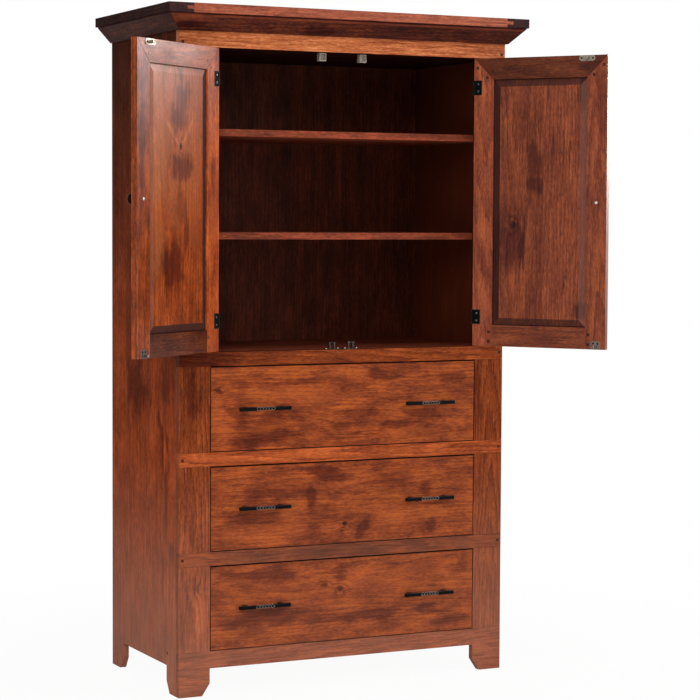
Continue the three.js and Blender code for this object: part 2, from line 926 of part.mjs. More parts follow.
function spearStrike(hand) {
  const middle = hand * (halfGap + doorWidth - rollerFromEdge);
  const back = doorInner + seat;
  const front = back + spearPlateThickness;
  const half = spearPlateWidth / 2;
  const top = doorBottom + spearPlateHeight;
  const plate = new THREE.Shape();
  plate.moveTo(doorBottom, middle - half);
  plate.lineTo(top - spearPlateCorner, middle - half);
  plate.quadraticCurveTo(top, middle - half, top, middle - half + spearPlateCorner);
  plate.lineTo(top, middle + half - spearPlateCorner);
  plate.quadraticCurveTo(top, middle + half, top - spearPlateCorner, middle + half);
  plate.lineTo(doorBottom, middle + half);
  plate.closePath();
  const tip = front + spearReach;
  const shoulder = tip - spearHeadLength;
  const spear = outline([
    [middle - spearNeck / 2, front - seat],
    [middle - spearNeck / 2, shoulder],
    [middle - spearHeadWidth / 2, shoulder],
    [middle, tip],
    [middle + spearHeadWidth / 2, shoulder],
    [middle + spearNeck / 2, shoulder],
    [middle + spearNeck / 2, front - seat],
  ]);
  const low = doorBottom + spearRise;
  return pushed(plate, "zx", back, front).add(pushed(spear, "xy", low, low + spearHeight));
}

function addDoor(side, openAngle) {
  const hand = sides[side];
  const fixed = placeAtPin(side);
  const door = placeAtPin(side);
  door.rotation.z = THREE.MathUtils.degToRad(-hand * openAngle);
  for (const [level, z] of Object.entries(hingeHeights)) {
    addPiece(fixed, "hinge_frame_leaf_" + side + "_" + level, frameLeaf(hand, z), hingeIron);
    addPiece(door, "hinge_door_leaf_" + side + "_" + level, doorLeaf(hand, z), hingeIron);
  }
  addPiece(door, "door_" + side + "_hinge_stile", doorStile(hand, false), doorWood);
  addPiece(door, "door_" + side + "_free_stile", doorStile(hand, true), doorWood);
  addPiece(door, "door_" + side + "_top_rail", doorTopRail(hand), doorWood);
  addPiece(door, "door_" + side + "_bottom_rail", doorBottomRail(hand), doorWood);
  addPiece(door, "door_" + side + "_panel", doorPanel(hand), doorWood);
  addPiece(door, "door_knob_" + side, doorKnob(hand), blackIron);
  addPiece(door, "top_strike_" + side, topStrike(hand), strikeSteel);
  addPiece(door, "roller_strike_" + side, spearStrike(hand), strikeSteel);
}

// Catches inside the case, each in line with its strike on the shut door

const fromFreeEdge = (side, distance) => caseMiddle - sides[side] * (meetingGap / 2 + distance);

function topCatch(side) {
  const middle = fromFreeEdge(side, topCatchFromEdge);
  const top = headerBottom - seat;
  const low = top - topCatchHeight;
  const back = topCatchFront + topCatchDepth;
  const half = topCatchWidth / 2;
  const mouth = block(
    middle - half + topCatchWall,
    middle + half - topCatchWall,
    topCatchFront - overrun,
    topCatchFront + topCatchMouthDepth,
    low + topCatchWall,
    top - topCatchWall,
  );
  return block(middle - half, middle + half, topCatchFront, back, low, top).subtract(mouth);
}

function rollerCatch(side) {
  const middle = fromFreeEdge(side, rollerFromEdge);
  const low = deckTop + seat;
  const top = low + rollerHousingHeight;
  const y = rollerFront + rollerBaseDepth / 2;
  const across = (half, depth, z0, z1) => block(middle - half, middle + half, y - depth, y + depth, z0, z1);
  let body = across(rollerBaseWidth / 2, rollerBaseDepth / 2, low, low + rollerPlateThickness).add(
    across(rollerHousingWidth / 2, rollerRadius + rollerPlateThickness, top - rollerPlateThickness, top),
  );
  for (const hand of Object.values(sides)) {
    const x = middle + hand * rollerSpread;
    body = body
      .add(uprightBar(x, y, rollerRadius, low, top))
      .add(uprightBar(x, y, rollerPinRadius, low, top + rollerPinRise));
  }
  return body;
}

function addCatches() {
  for (const side of Object.keys(sides)) {
    addPiece(armoire, "top_catch_" + side, topCatch(side), catchGrey);
    addPiece(armoire, "roller_catch_" + side, rollerCatch(side), strikeSteel);
  }
}

addFaceFrame();
addCase();
addTop();
addCrown();
addDrawers();
addDoor("left", leftDoorAngle);
addDoor("right", rightDoorAngle);
addCatches();

// The origin is on the floor, in the middle of the box round the cabinet as it stands with its doors open.
const cabinet = new THREE.Group();
cabinet.add(armoire);
const bounds = new THREE.Box3().setFromObject(armoire, true);
const middle = bounds.getCenter(new THREE.Vector3());
armoire.position.set(-middle.x, -middle.y, 0);

export default cabinet;
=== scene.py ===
import json
import math
import random

import bmesh
import bpy
from mathutils import Matrix, Vector
from mathutils.geometry import tessellate_polygon


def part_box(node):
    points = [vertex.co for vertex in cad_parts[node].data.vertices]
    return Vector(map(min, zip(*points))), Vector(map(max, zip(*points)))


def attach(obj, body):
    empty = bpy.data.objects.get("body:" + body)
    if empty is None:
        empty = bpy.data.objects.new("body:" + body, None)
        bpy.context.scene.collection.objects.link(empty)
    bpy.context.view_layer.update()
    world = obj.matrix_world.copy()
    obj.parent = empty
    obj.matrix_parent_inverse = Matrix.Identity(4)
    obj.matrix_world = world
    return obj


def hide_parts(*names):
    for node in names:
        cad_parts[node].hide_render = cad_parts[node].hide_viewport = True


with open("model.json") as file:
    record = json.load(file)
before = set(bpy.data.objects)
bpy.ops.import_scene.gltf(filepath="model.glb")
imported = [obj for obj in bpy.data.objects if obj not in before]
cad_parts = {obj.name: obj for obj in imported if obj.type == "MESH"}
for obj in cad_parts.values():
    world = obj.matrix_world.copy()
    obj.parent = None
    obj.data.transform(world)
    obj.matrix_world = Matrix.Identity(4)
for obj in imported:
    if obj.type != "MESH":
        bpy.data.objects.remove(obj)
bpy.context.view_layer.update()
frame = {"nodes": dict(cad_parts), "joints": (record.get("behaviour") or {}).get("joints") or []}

# A rustic two-door armoire over three drawers, dressed with its finishes and small ironwork.
# Metres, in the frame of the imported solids: the front faces -Y and the floor is z = 0.

nodes = frame["nodes"]
scene = bpy.context.scene
scene.view_settings.view_transform = "Standard"
dice = random.Random(41)

case = {
    "left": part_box("side_panel_left")[0].x,
    "right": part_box("side_panel_right")[1].x,
    "front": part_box("base_apron")[0].y,
}
caseMiddle = (case["left"] + case["right"]) / 2

# Each door's hinge pin, and the turn that shuts it from where it stands open
doors = {}
for joint in frame["joints"]:
    if joint["type"] == "hinge":
        side = "left" if "left" in joint["name"] else "right"
        hand = 1 if side == "left" else -1
        pin = Vector((joint["pos_m"][0], joint["pos_m"][1], 0))
        doors[side] = {"hand": hand, "pin": pin, "shut": hand * math.radians(-joint["range_deg"][0])}


def shutSpace(side):  # from where a door's point stands to where it is with the door shut
    door = doors[side]
    turn = Matrix.Rotation(door["shut"], 4, "Z")
    return Matrix.Translation(door["pin"]) @ turn @ Matrix.Translation(-door["pin"])


def boxOf(node, side=None):  # lowest and highest corner, and with a side given, those with that door shut
    if not side:
        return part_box(node)
    move = shutSpace(side)
    points = [move @ v.co for v in nodes[node].data.vertices]
    low = Vector([min(p[i] for p in points) for i in range(3)])
    high = Vector([max(p[i] for p in points) for i in range(3)])
    return low, high


# The edges and faces of each door when it is shut
for side, door in doors.items():
    hingeStile = boxOf("door_" + side + "_hinge_stile", side)
    freeStile = boxOf("door_" + side + "_free_stile", side)
    near, far = (0, 1) if side == "left" else (1, 0)
    door["hinged"] = hingeStile[near].x
    door["width"] = abs(freeStile[far].x - door["hinged"])
    door["outer"] = hingeStile[0].y
    door["inner"] = hingeStile[1].y
    door["bottom"] = hingeStile[0].z
    door["top"] = boxOf("door_" + side + "_top_rail", side)[1].z

# Camera, at the photograph's place. Its stand is measured from the case's front left corner on the floor.
cameraStand = {
    "lens": 113.99,
    "sensor": 36,
    "reach": 60,
    "yaw": -25.9578,
    "pitch": -3.3536,
    "roll": 0.289,
    "fromCorner": (-2.3354, -5.9182, 1.3847),
}


def setCamera():
    lens = bpy.data.cameras.new("photo_camera")
    lens.lens = cameraStand["lens"]
    lens.sensor_width = cameraStand["sensor"]
    lens.clip_end = cameraStand["reach"]
    camera = bpy.data.objects.new("photo_camera", lens)
    scene.collection.objects.link(camera)
    aim = Matrix.Rotation(math.radians(cameraStand["yaw"]), 4, "Z")
    tip = Matrix.Rotation(math.radians(90 + cameraStand["pitch"]), 4, "X")
    roll = Matrix.Rotation(math.radians(cameraStand["roll"]), 4, "Z")
    place = Vector((case["left"], case["front"], 0)) + Vector(cameraStand["fromCorner"])
    camera.matrix_world = Matrix.Translation(place) @ aim @ tip @ roll
    scene.camera = camera


setCamera()
print("camera set")


def tint(red, green, blue):  # a colour as picked on a screen, 0 to 255
    def lin(v):
        v = v / 255
        return v / 12.92 if v <= 0.04045 else ((v + 0.055) / 1.055) ** 2.4

    return (lin(red), lin(green), lin(blue), 1)


def toned(colour, tone):
    return (colour[0] * tone, colour[1] * tone, colour[2] * tone, 1)


class Shader:  # the nodes of one material, or of the world
    def __init__(self, owner):
        owner.use_nodes = True
        self.owner = owner
        self.tree = owner.node_tree
        self.tree.nodes.clear()

    def put(self, kind, inputs=None, **settings):
        made = self.tree.nodes.new("ShaderNode" + kind)
        for key, value in settings.items():
            setattr(made, key, value)
        for key, value in (inputs or {}).items():
            if isinstance(value, bpy.types.NodeSocket):
                self.tree.links.new(value, made.inputs[key])
            else:
                made.inputs[key].default_value = value
        return made

    def sum(self, operation, a, b=0.0, c=0.0):  # the next few are the ones used most
        return self.put("Math", {0: a, 1: b, 2: c}, operation=operation).outputs[0]

    def times(self, a, b):
        return self.sum("MULTIPLY", a, b)

    def timesPlus(self, a, b, c):
        return self.sum("MULTIPLY_ADD", a, b, c)

    def plus(self, a, b):
        return self.sum("ADD", a, b)

    def minus(self, a, b):
        return self.sum("SUBTRACT", a, b)

    def larger(self, a, b):
        return self.sum("MAXIMUM", a, b)

    def vector(self, operation, a, b=(0, 0, 0)):
        made = self.put("VectorMath", {0: a, 1: b}, operation=operation)
        return made.outputs["Value" if operation == "LENGTH" else "Vector"]

    def scaled(self, colour, factor):
        return self.put("VectorMath", {0: colour, "Scale": factor}, operation="SCALE").outputs["Vector"]

    def turned(self, place, angle, centre=(0, 0, 0)):
        facts = {"Vector": place, "Center": centre, "Angle": angle}
        return self.put("VectorRotate", facts, rotation_type="Z_AXIS").outputs["Vector"]

    def parts(self, vector):
        return self.put("SeparateXYZ", {"Vector": vector}).outputs

    def noise(self, place, scale, stretch=(1, 1, 1), detail=2.0, roughness=0.5):
        spread = self.vector("MULTIPLY", place, stretch)
        facts = {"Vector": spread, "Scale": scale, "Detail": detail, "Roughness": roughness}
        return self.put("TexNoise", facts).outputs["Fac"]

    def ease(self, value, low, high, start=0.0, end=1.0):
        facts = {"Value": value, "From Min": low, "From Max": high, "To Min": start, "To Max": end}
        return self.put("MapRange", facts, interpolation_type="SMOOTHSTEP").outputs["Result"]

    def clamp(self, value, most):
        return self.put("Clamp", {"Value": value, "Min": 0, "Max": most}).outputs[0]

    def mix(self, factor, a, b, blend="MIX"):
        return self.put("Mix", {0: factor, 6: a, 7: b}, data_type="RGBA", blend_type=blend).outputs[2]

    def edges(self, width):  # above 0 where an edge lies within width
        flat = self.put("NewGeometry").outputs["Normal"]
        rounded = self.put("Bevel", {"Radius": width}, samples=4).outputs["Normal"]
        return self.vector("LENGTH", self.vector("SUBTRACT", flat, rounded))

    def bump(self, height, strength, distance):
        facts = {"Strength": strength, "Distance": distance, "Height": height}
        return self.put("Bump", facts).outputs["Normal"]

    def coat(self, colour, rough, bump, shine=0.5, metal=0.0):  # the finished material
        facts = {"Base Color": colour, "Roughness": rough, "Normal": bump,
                 "Specular IOR Level": shine, "Metallic": metal}
        return self.finish(self.put("BsdfPrincipled", facts).outputs["BSDF"])

    def finish(self, surface):
        self.put("OutputMaterial", {"Surface": surface})
        return self.owner


def newShader(name):
    return Shader(bpy.data.materials.new(name))


def stain(pale, body, deep, dark, **more):
    return {"pale": tint(*pale), "body": tint(*body), "deep": tint(*deep), "dark": tint(*dark), **more}


# Stains. blotch, streak and band say how strongly the three sizes of figure show, rings the growth rings,
# spacing their distance in metres, gloss the roughness and shine the strength of the plain reflection.
# broad below 1 spreads the large figure across the grain.
stains = {
    "drawer_wood": stain((170, 84, 36), (138, 65, 32), (100, 43, 23), (66, 28, 22), blotch=1.5,
                         streak=0.65, band=0.5, rings=0.3, spacing=0.011, gloss=0.42, shine=0.06),
    "frame_wood": stain((170, 84, 42), (138, 65, 32), (102, 45, 25), (64, 28, 20), blotch=1.0,
                        streak=0.8, band=0.8, rings=0.6, spacing=0.008, gloss=0.42, shine=0.012),
    # painted light: a paler, yellower copy of frame_wood for the header rail
    "header_wood": stain((218, 134, 84), (180, 98, 56), (138, 66, 34), (96, 44, 26), blotch=0.6,
                         streak=1.5, band=0.5, rings=0.3, spacing=0.009, gloss=0.42, shine=0.05),
    "door_wood": stain((159, 84, 51), (126, 63, 41), (92, 44, 32), (52, 27, 27), blotch=0.9,
                       streak=0.65, band=0.7, rings=0.4, spacing=0.01, gloss=0.34, shine=0.1),
    "left_door_wood": stain((172, 82, 36), (136, 60, 26), (96, 40, 20), (54, 24, 20), blotch=1.3,
                            streak=0.6, band=0.5, rings=0.35, spacing=0.012, gloss=0.48, shine=0.15,
                            broad=0.7, glow=tint(184, 122, 74)),
    "side_wood": stain((144, 64, 28), (110, 47, 21), (80, 33, 17), (46, 20, 14), blotch=0.9,
                       streak=0.7, band=1.2, rings=0.3, spacing=0.012, gloss=0.4, shine=0.003, broad=0.45),
    "top_wood": stain((186, 102, 72), (152, 80, 58), (116, 56, 42), (80, 38, 32), blotch=0.7,
                      streak=1.1, band=0.6, rings=0.35, spacing=0.011, gloss=0.38, shine=0.08),
    "end_wood": stain((86, 62, 58), (64, 45, 44), (46, 31, 31), (27, 18, 18), blotch=0.6,
                      streak=0.6, band=0.3, rings=0.3, spacing=0.009, gloss=0.42, shine=0.0),
    "crown_wood": stain((116, 56, 34), (76, 36, 28), (50, 26, 24), (30, 16, 16), blotch=0.8,
                        streak=0.6, band=0.7, rings=0.3, spacing=0.012, gloss=0.42, shine=0.01),
    # darker than the woods outside: partly its stain, partly painted shade inside the case
    "inside_wood": stain((102, 45, 28), (76, 33, 20), (52, 23, 15), (32, 13, 9), blotch=0.9,
                         streak=0.8, band=1.2, rings=0.3, spacing=0.012, gloss=0.5, shine=0.06),
    "box_wood": stain((208, 168, 122), (193, 149, 104), (172, 127, 86), (140, 97, 64), blotch=0.4,
                      streak=0.5, band=0.3, rings=0.5, spacing=0.01, gloss=0.55, shine=0.2),
}

# How a board lies: which of x, y and z runs along its grain, across it and through it
grainOrders = {
    "front": "xzy",
    "post": "zxy",
    "side": "zyx",
    "flat": "xyz",
    "cap": "yxz",
    "rake": "yzx",
}

# The sizes of figure: scale, stretch along, across and through the board, detail and roughness
figures = {
    "mottle": (15, (0.6, 1.3, 1.3), 6, 0.6),
    "bands": (24, (0.06, 1.0, 1.0), 4, 0.6),
    "lines": (150, (0.06, 1.0, 1.0), 4, 0.65),
    "tooth": (330, (0.2, 1.0, 1.0), 2, 0.6),
    "fibre": (520, (0.03, 1.0, 1.0), 2, 0.5),
    "fleck": (95, (0.16, 1.0, 1.0), 2, 0.5),
    "drift": (2.6, (0.8, 2.4, 2.4), 3, 0.55),
}

# Knots pull the rings round them. Clouds are patches of darker stain, glows patches of paler wood, but on
# the crown's front some clouds are painted shadow and one glow a painted highlight.
# An edge or a halo says at how many times the mark's size it begins, and at how many it is full.
markLook = {
    "knotPull": 2.6,
    "knotCalm": 0.3,
    "knotHalo": (4.5, 1.2),
    "knotRagged": 0.35,
    "knotEdge": (1.3, 0.6),
    "raggedEdge": (1.4, 0.55),
    "cleanEdge": (1.1, 0.8),
    "raggedMottle": 2.6,
    "glowTone": 0.45,
    "cloudTint": (0.5, 0.4, 0.5, 1),
    "cloudLines": (0.3, 0.62, 0.6, 0.2),
    "cloudTone": 1.15,
    "knotTone": 0.5,
}

# Fours are eases: where a change begins, where it ends, and its strength at both
woodLook = {
    "seedSpread": (23.0, 7.0, 5.0),
    "pithSide": (-0.4, 0.4),  # least and most, as shares of the board's width
    "pithDepth": (0.03, 0.09),  # least and most, as for the tilt and the tones of planks
    "tilt": (0.02, 0.055),
    "driftReach": 0.045,
    "plankJump": (3.7, 0.9),  # how far the figure moves along and across from plank to plank
    "plankTones": (0.86, 1.14),
    "ringWobble": 1.1,
    "ringEdge": 2.4,
    "ringMottle": (0.3, 0.62, 0.3, 1.3),
    "ringNearKnot": 1.4,
    "stops": ((0.14, "dark", 1), (0.33, "deep", 1), (0.5, "body", 1),
              (0.66, "pale", 1), (0.86, "pale", 1.25)),
    "middle": 0.52,
    "mottleShare": 0.6,
    "lineShare": 0.6,
    "toothShare": 0.55,
    "bandShare": 0.4,
    "ringShare": -0.35,
    "knotShare": -0.04,
    "fleck": (0.64, 0.74, 0, 0.5),
    "fibre": (0.45, 0.75, 0, 0.2),
    "slope": (0.997, 0.99),  # how squarely a face looks forward where the slope begins, and is full
    "slopeLeast": 0.9,
    # painted shade on the panel's slopes
    "slopeShade": (-2.4, 0.72),  # its rise towards the hinged side, and its middle
    "slopeShadeLow": -4.0,  # its rise towards the bottom, on the left door
    "slopeMost": 0.9,
    "slopeTone": 0.8,
    "slopeRough": 0.35,
    # a painted sheen on the free side's slope
    "slopeSheen": (128, 88, 76),
    "slopeSheenRise": 5.5,
    "slopeSheenMost": {"left": 0.1, "right": 0.32},
    # a painted shadow line under the door frame, round the panel
    "panelShadowLine": (0.0032, 0.0012, 0, 0.9),
    # painted shade on the edges that face a gap
    "gapFace": (0.8, 0.3),  # as for the slope
    "gapRim": (0.0018, 0.0006, 0, 0.85),
    "gapShade": 0.98,
    "gapTone": 0.3,
    "outward": 0.1,  # above this a face is an outer side of the case, which faces no gap
    "inset": 0.0195,  # from a side's outer face to where the darker inside begins, its stain and painted shade
    "insideShade": 0.85,
    "footTop": 0.13,
    # a painted reflection of the floor, paler and duller low down
    "floorSheenHeight": 0.75,
    "floorSheenShare": {"side_wood": 0.85, "frame_wood": 0.45, "drawer_wood": 0.12},
    "floorSheenLines": (0.3, 0.7, 0.6, 1.0),
    "floorSheenTint": (174, 122, 103),
    # paler edges: partly wear, partly painted highlight
    "wearAndHighlightWidth": 0.0022,
    "wearAndHighlight": (0.12, 0.6),
    "wearAndHighlightMottle": (0.4, 0.6, 0.1, 0.5),
    "wearAndHighlightInGap": 0.25,
    "wearAndHighlightTone": 1.1,
    "poreShares": (0.5, 0.8, 0.6),  # fibre, lines and knots
    "bump": (0.22, 0.0006),
    "glossMottle": (0.25, 0.75),
    "glossSpread": (0.06, -0.05),
    "sheenFade": (1.24, 1.5, 0.46, 1.05),
}


class BoardWood(Shader):  # the stained wood of one board
    def __init__(self, node, stainName, lie, tone, door, joints):
        super().__init__(bpy.data.materials.new(node + "_stain"))
        self.stainName = stainName
        self.look = stains[stainName]
        self.tone = tone
        self.door = door
        low, high = boxOf(node, door)
        self.top = high.z
        self.size = high - low
        self.centre = (low + high) / 2
        self.order = ["xyz".index(c) for c in grainOrders[lie]]
        self.seed = Vector([dice.random() * reach for reach in woodLook["seedSpread"]])
        self.pithSide = dice.uniform(*woodLook["pithSide"]) * self.size[self.order[1]]
        self.pithDepth = dice.uniform(*woodLook["pithDepth"])
        self.tilt = dice.uniform(*woodLook["tilt"]) * dice.choice((-1, 1))
        self.setPlaces()
        self.setFigures(joints)
        self.swirl = self.near = self.heart = self.cloud = self.glow = 0.0

    def setPlaces(self):
        coord = self.put("TexCoord").outputs
        place = coord["Object"]
        normal = coord["Normal"]
        if self.door:
            shut = doors[self.door]["shut"]
            place = self.turned(place, shut, doors[self.door]["pin"])
            normal = self.turned(normal, shut)
        self.world = self.parts(place)
        self.face = self.parts(normal)
        fromMiddle = self.parts(self.vector("SUBTRACT", place, self.centre))
        self.along, self.across, self.through = [fromMiddle[i] for i in self.order]
        self.grain = self.put("CombineXYZ", {0: self.along, 1: self.across, 2: self.through}).outputs[0]

    def setFigures(self, joints):  # each plank has a figure of its own, and the joints are where they meet
        wild = self.vector("ADD", self.grain, self.seed)
        self.plank = 0.0
        for joint in joints:
            past = self.sum("GREATER_THAN", self.across, self.measured(joint) - self.centre[self.order[1]])
            self.plank = self.plus(self.plank, past)
        if joints:
            jumps = [self.times(self.plank, jump) for jump in woodLook["plankJump"]]
            wild = self.vector("ADD", wild, self.put("CombineXYZ", {0: jumps[0], 1: jumps[1]}).outputs[0])
        broad = self.vector("MULTIPLY", wild, (1, self.look.get("broad", 1.0), 1))
        self.figure = {}
        for name, facts in figures.items():
            self.figure[name] = self.noise(broad if name in ("mottle", "bands") else wild, *facts)
        self.ragged = self.timesPlus(self.swing("mottle"), markLook["raggedMottle"], self.swing("lines"))

    def swing(self, name):  # a figure about 0
        return self.minus(self.figure[name], 0.5)

    def measured(self, distance):  # from the case's left edge or front, or from the door's hinged edge
        if self.door:
            return doors[self.door]["hinged"] + doors[self.door]["hand"] * distance
        return case["front" if 1 in self.order[:2] else "left"] + distance

    def addMark(self, kind, distance, z, length, height, strength=1.0, turn=0, ragged=1.0, plank=None):
        level = self.measured(distance)
        first, second = (level, z) if self.order[0] == 0 else (z, level)
        spot = (first - self.centre[self.order[0]], second - self.centre[self.order[1]], 0)
        moved = self.vector("SUBTRACT", self.grain, spot)
        if turn:
            moved = self.turned(moved, math.radians(turn))
        reach = self.vector("LENGTH", self.vector("MULTIPLY", moved, (1 / length, 1 / height, 0)))
        if kind == "knot":
            self.addKnot(reach, strength)
            return
        edge = markLook["raggedEdge"] if ragged else markLook["cleanEdge"]
        if ragged:
            reach = self.timesPlus(self.ragged, ragged, reach)
        mask = self.ease(reach, *edge, 0, strength)
        if plank is not None:
            mask = self.times(mask, self.sum("COMPARE", self.plank, float(plank), 0.5))
        if kind == "glow":
            self.glow = self.larger(self.glow, mask)
        else:
            self.cloud = self.larger(self.cloud, mask)

    def addKnot(self, reach, strength):
        calm = self.timesPlus(self.times(reach, reach), markLook["knotCalm"], 1.0)
        self.swirl = self.plus(self.swirl, self.sum("DIVIDE", markLook["knotPull"] * strength, calm))
        self.near = self.larger(self.near, self.ease(reach, *markLook["knotHalo"], 0, strength))
        reach = self.timesPlus(self.ragged, markLook["knotRagged"], reach)
        self.heart = self.larger(self.heart, self.ease(reach, *markLook["knotEdge"], 0, strength))

    def growthRings(self):  # those of a flat-sawn board, seen where they cut its face
        shift = self.times(self.swing("drift"), woodLook["driftReach"])
        sideways = self.plus(self.plus(self.across, shift), self.pithSide)
        depth = self.plus(self.timesPlus(self.along, self.tilt, self.pithDepth), self.through)
        pith = self.put("CombineXYZ", {0: sideways, 1: depth}).outputs[0]
        rings = self.sum("DIVIDE", self.vector("LENGTH", pith), self.look["spacing"])
        rings = self.plus(rings, self.swirl)
        rings = self.timesPlus(self.figure["lines"], woodLook["ringWobble"], rings)
        ring = self.sum("POWER", self.sum("FRACT", rings), woodLook["ringEdge"])
        strength = self.ease(self.figure["mottle"], *woodLook["ringMottle"])
        strength = self.timesPlus(self.near, woodLook["ringNearKnot"], strength)
        return self.times(ring, strength)

    def figureRamp(self, value):  # from the darkest figure to the brightest
        ramp = self.put("ValToRGB", {"Fac": value})
        stops = woodLook["stops"]
        while len(ramp.color_ramp.elements) < len(stops):
            ramp.color_ramp.elements.new(0.5)
        for stop, (place, name, share) in zip(ramp.color_ramp.elements, stops):
            stop.position = place
            stop.color = toned(self.look[name], share * self.tone)
        return ramp.outputs["Color"]

    def stained(self):  # the figure of the wood and its marks
        look = self.look
        shares = {
            "mottle": look["blotch"] * woodLook["mottleShare"],
            "lines": look["streak"] * woodLook["lineShare"],
            "tooth": woodLook["toothShare"],
            "bands": look["band"] * woodLook["bandShare"],
        }
        value = woodLook["middle"]
        for name, share in shares.items():
            value = self.timesPlus(self.swing(name), share, value)
        value = self.timesPlus(self.growthRings(), woodLook["ringShare"] * look["rings"], value)
        value = self.timesPlus(self.near, woodLook["knotShare"], value)
        colour = self.figureRamp(value)
        glow = toned(look.get("glow", look["pale"]), markLook["glowTone"])
        colour = self.mix(self.glow, colour, glow, "ADD")
        colour = self.mix(self.cloud, colour, markLook["cloudTint"], "MULTIPLY")
        darker = self.times(self.cloud, self.ease(self.figure["lines"], *markLook["cloudLines"]))
        colour = self.mix(darker, colour, toned(look["dark"], markLook["cloudTone"]))
        colour = self.mix(self.heart, colour, toned(look["dark"], markLook["knotTone"]))
        fleck = self.ease(self.figure["fleck"], *woodLook["fleck"])
        colour = self.mix(fleck, colour, toned(look["dark"], self.tone))
        fibre = self.ease(self.figure["fibre"], *woodLook["fibre"])
        return self.mix(fibre, colour, toned(look["deep"], self.tone))

    def planked(self, colour):  # each plank takes the stain a little differently
        number = self.plus(self.plank, self.seed.x)
        chance = self.put("TexWhiteNoise", {"W": number}, noise_dimensions="1D").outputs["Value"]
        least, most = woodLook["plankTones"]
        return self.scaled(colour, self.timesPlus(chance, most - least, least))

    def faded(self, colour, start, end):  # its tone runs along it; on the case's sides this is painted light towards the floor and painted shade towards the top
        half = self.size[self.order[0]] / 2
        facts = {"Value": self.along, "From Min": -half, "From Max": half, "To Min": start, "To Max": end}
        return self.scaled(colour, self.put("MapRange", facts).outputs["Result"])

    def sloped(self, colour):  # painted shade on the raised panel's slopes, most on the hinged side, and a painted sheen on the free side's slope
        dark = self.look["dark"]
        door = doors[self.door]
        flat = self.sum("ABSOLUTE", self.face[1])
        slope = self.ease(flat, *woodLook["slope"])
        slope = self.times(slope, self.sum("GREATER_THAN", flat, woodLook["slopeLeast"]))
        rise, middle = woodLook["slopeShade"]
        hinged = self.timesPlus(self.face[0], rise * door["hand"], middle)
        if self.door == "left":
            hinged = self.timesPlus(self.face[2], woodLook["slopeShadeLow"], hinged)
        self.slopeShade = self.clamp(self.times(slope, hinged), woodLook["slopeMost"])
        colour = self.mix(self.slopeShade, colour, toned(dark, woodLook["slopeTone"]))
        # painted sheen on the free side's slope
        free = self.times(self.face[0], woodLook["slopeSheenRise"] * door["hand"])
        free = self.clamp(self.times(slope, free), woodLook["slopeSheenMost"][self.door])
        colour = self.mix(free, colour, tint(*woodLook["slopeSheen"]))
        # a painted shadow line lies under the frame, all round but at the free side
        tongue = self.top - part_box("door_" + self.door + "_top_rail")[0].z
        above = self.minus(self.size.z / 2 - tongue, self.sum("ABSOLUTE", self.along))
        beside = self.timesPlus(self.across, door["hand"], self.size.x / 2 - tongue)
        rim = self.ease(self.sum("MINIMUM", above, beside), *woodLook["panelShadowLine"])
        return self.mix(rim, colour, toned(dark, woodLook["gapTone"]))

    def paintedGapShade(self, colour, gaps):  # painted shade: it is darkest on the edges that face a gap, and on a drawer front's rim
        onEdge = self.ease(self.sum("ABSOLUTE", self.face[1]), *woodLook["gapFace"])
        shadedEdges = self.times(onEdge, self.sum("GREATER_THAN", self.world[2], woodLook["footTop"]))
        if gaps == "inner":
            outward = self.times(self.face[0], self.minus(self.world[0], caseMiddle))
            shadedEdges = self.times(shadedEdges, self.sum("LESS_THAN", outward, woodLook["outward"]))
        else:
            rims = []
            for i, way in ((0, self.along), (1, self.across)):
                half = self.size[self.order[i]] / 2
                rims.append(self.minus(half, self.sum("ABSOLUTE", way)))
            shadedEdges = self.larger(shadedEdges, self.ease(self.sum("MINIMUM", *rims), *woodLook["gapRim"]))
        shade = self.times(shadedEdges, woodLook["gapShade"])
        return self.mix(shade, colour, toned(self.look["dark"], woodLook["gapTone"]))

    def stainedAndShadedInside(self, colour):  # the case is darker inside: its darker stain, and painted shade
        inner = (case["right"] - case["left"]) / 2 - woodLook["inset"]
        fromMiddle = self.sum("ABSOLUTE", self.minus(self.world[0], caseMiddle))
        inside = self.times(self.sum("LESS_THAN", fromMiddle, inner), woodLook["insideShade"])
        return self.mix(inside, colour, stains["inside_wood"]["body"])

    def paintedFloorSheen(self, colour):  # a painted reflection of the floor: paler and duller towards it
        most = woodLook["floorSheenShare"][self.stainName]
        share = self.ease(self.world[2], woodLook["floorSheenHeight"], 0.0, 0.0, most)
        share = self.times(share, self.ease(self.figure["lines"], *woodLook["floorSheenLines"]))
        return self.mix(share, colour, tint(*woodLook["floorSheenTint"]))

    def varnished(self, colour, raised, gaps):  # edges are a little paler, partly rubbed and partly a painted highlight, and pores and knots sink
        figure = self.figure
        wornAndHighlighted = self.ease(self.edges(woodLook["wearAndHighlightWidth"]), *woodLook["wearAndHighlight"])
        wornAndHighlighted = self.times(wornAndHighlighted, self.ease(figure["mottle"], *woodLook["wearAndHighlightMottle"]))
        if gaps:
            wornAndHighlighted = self.times(wornAndHighlighted, woodLook["wearAndHighlightInGap"])
        colour = self.mix(wornAndHighlighted, colour, toned(self.look["pale"], woodLook["wearAndHighlightTone"] * self.tone))
        fibre, lines, knots = woodLook["poreShares"]
        height = self.timesPlus(figure["fibre"], fibre, self.times(figure["lines"], lines))
        height = self.minus(height, self.times(self.heart, knots))
        bump = self.bump(height, *woodLook["bump"])
        gloss = [self.look["gloss"] + step for step in woodLook["glossSpread"]]
        rough = self.ease(figure["mottle"], *woodLook["glossMottle"], *gloss)
        if self.door == "left":  # its sheen fades out downwards
            rough = self.times(rough, self.ease(self.world[2], *woodLook["sheenFade"]))
        if raised:
            rough = self.timesPlus(self.slopeShade, woodLook["slopeRough"], rough)
        return self.coat(colour, rough, bump, self.look["shine"])


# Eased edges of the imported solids
edgeLook = {"weld": 0.00002, "wood": 0.0006, "rounds": 2, "angle": 32}


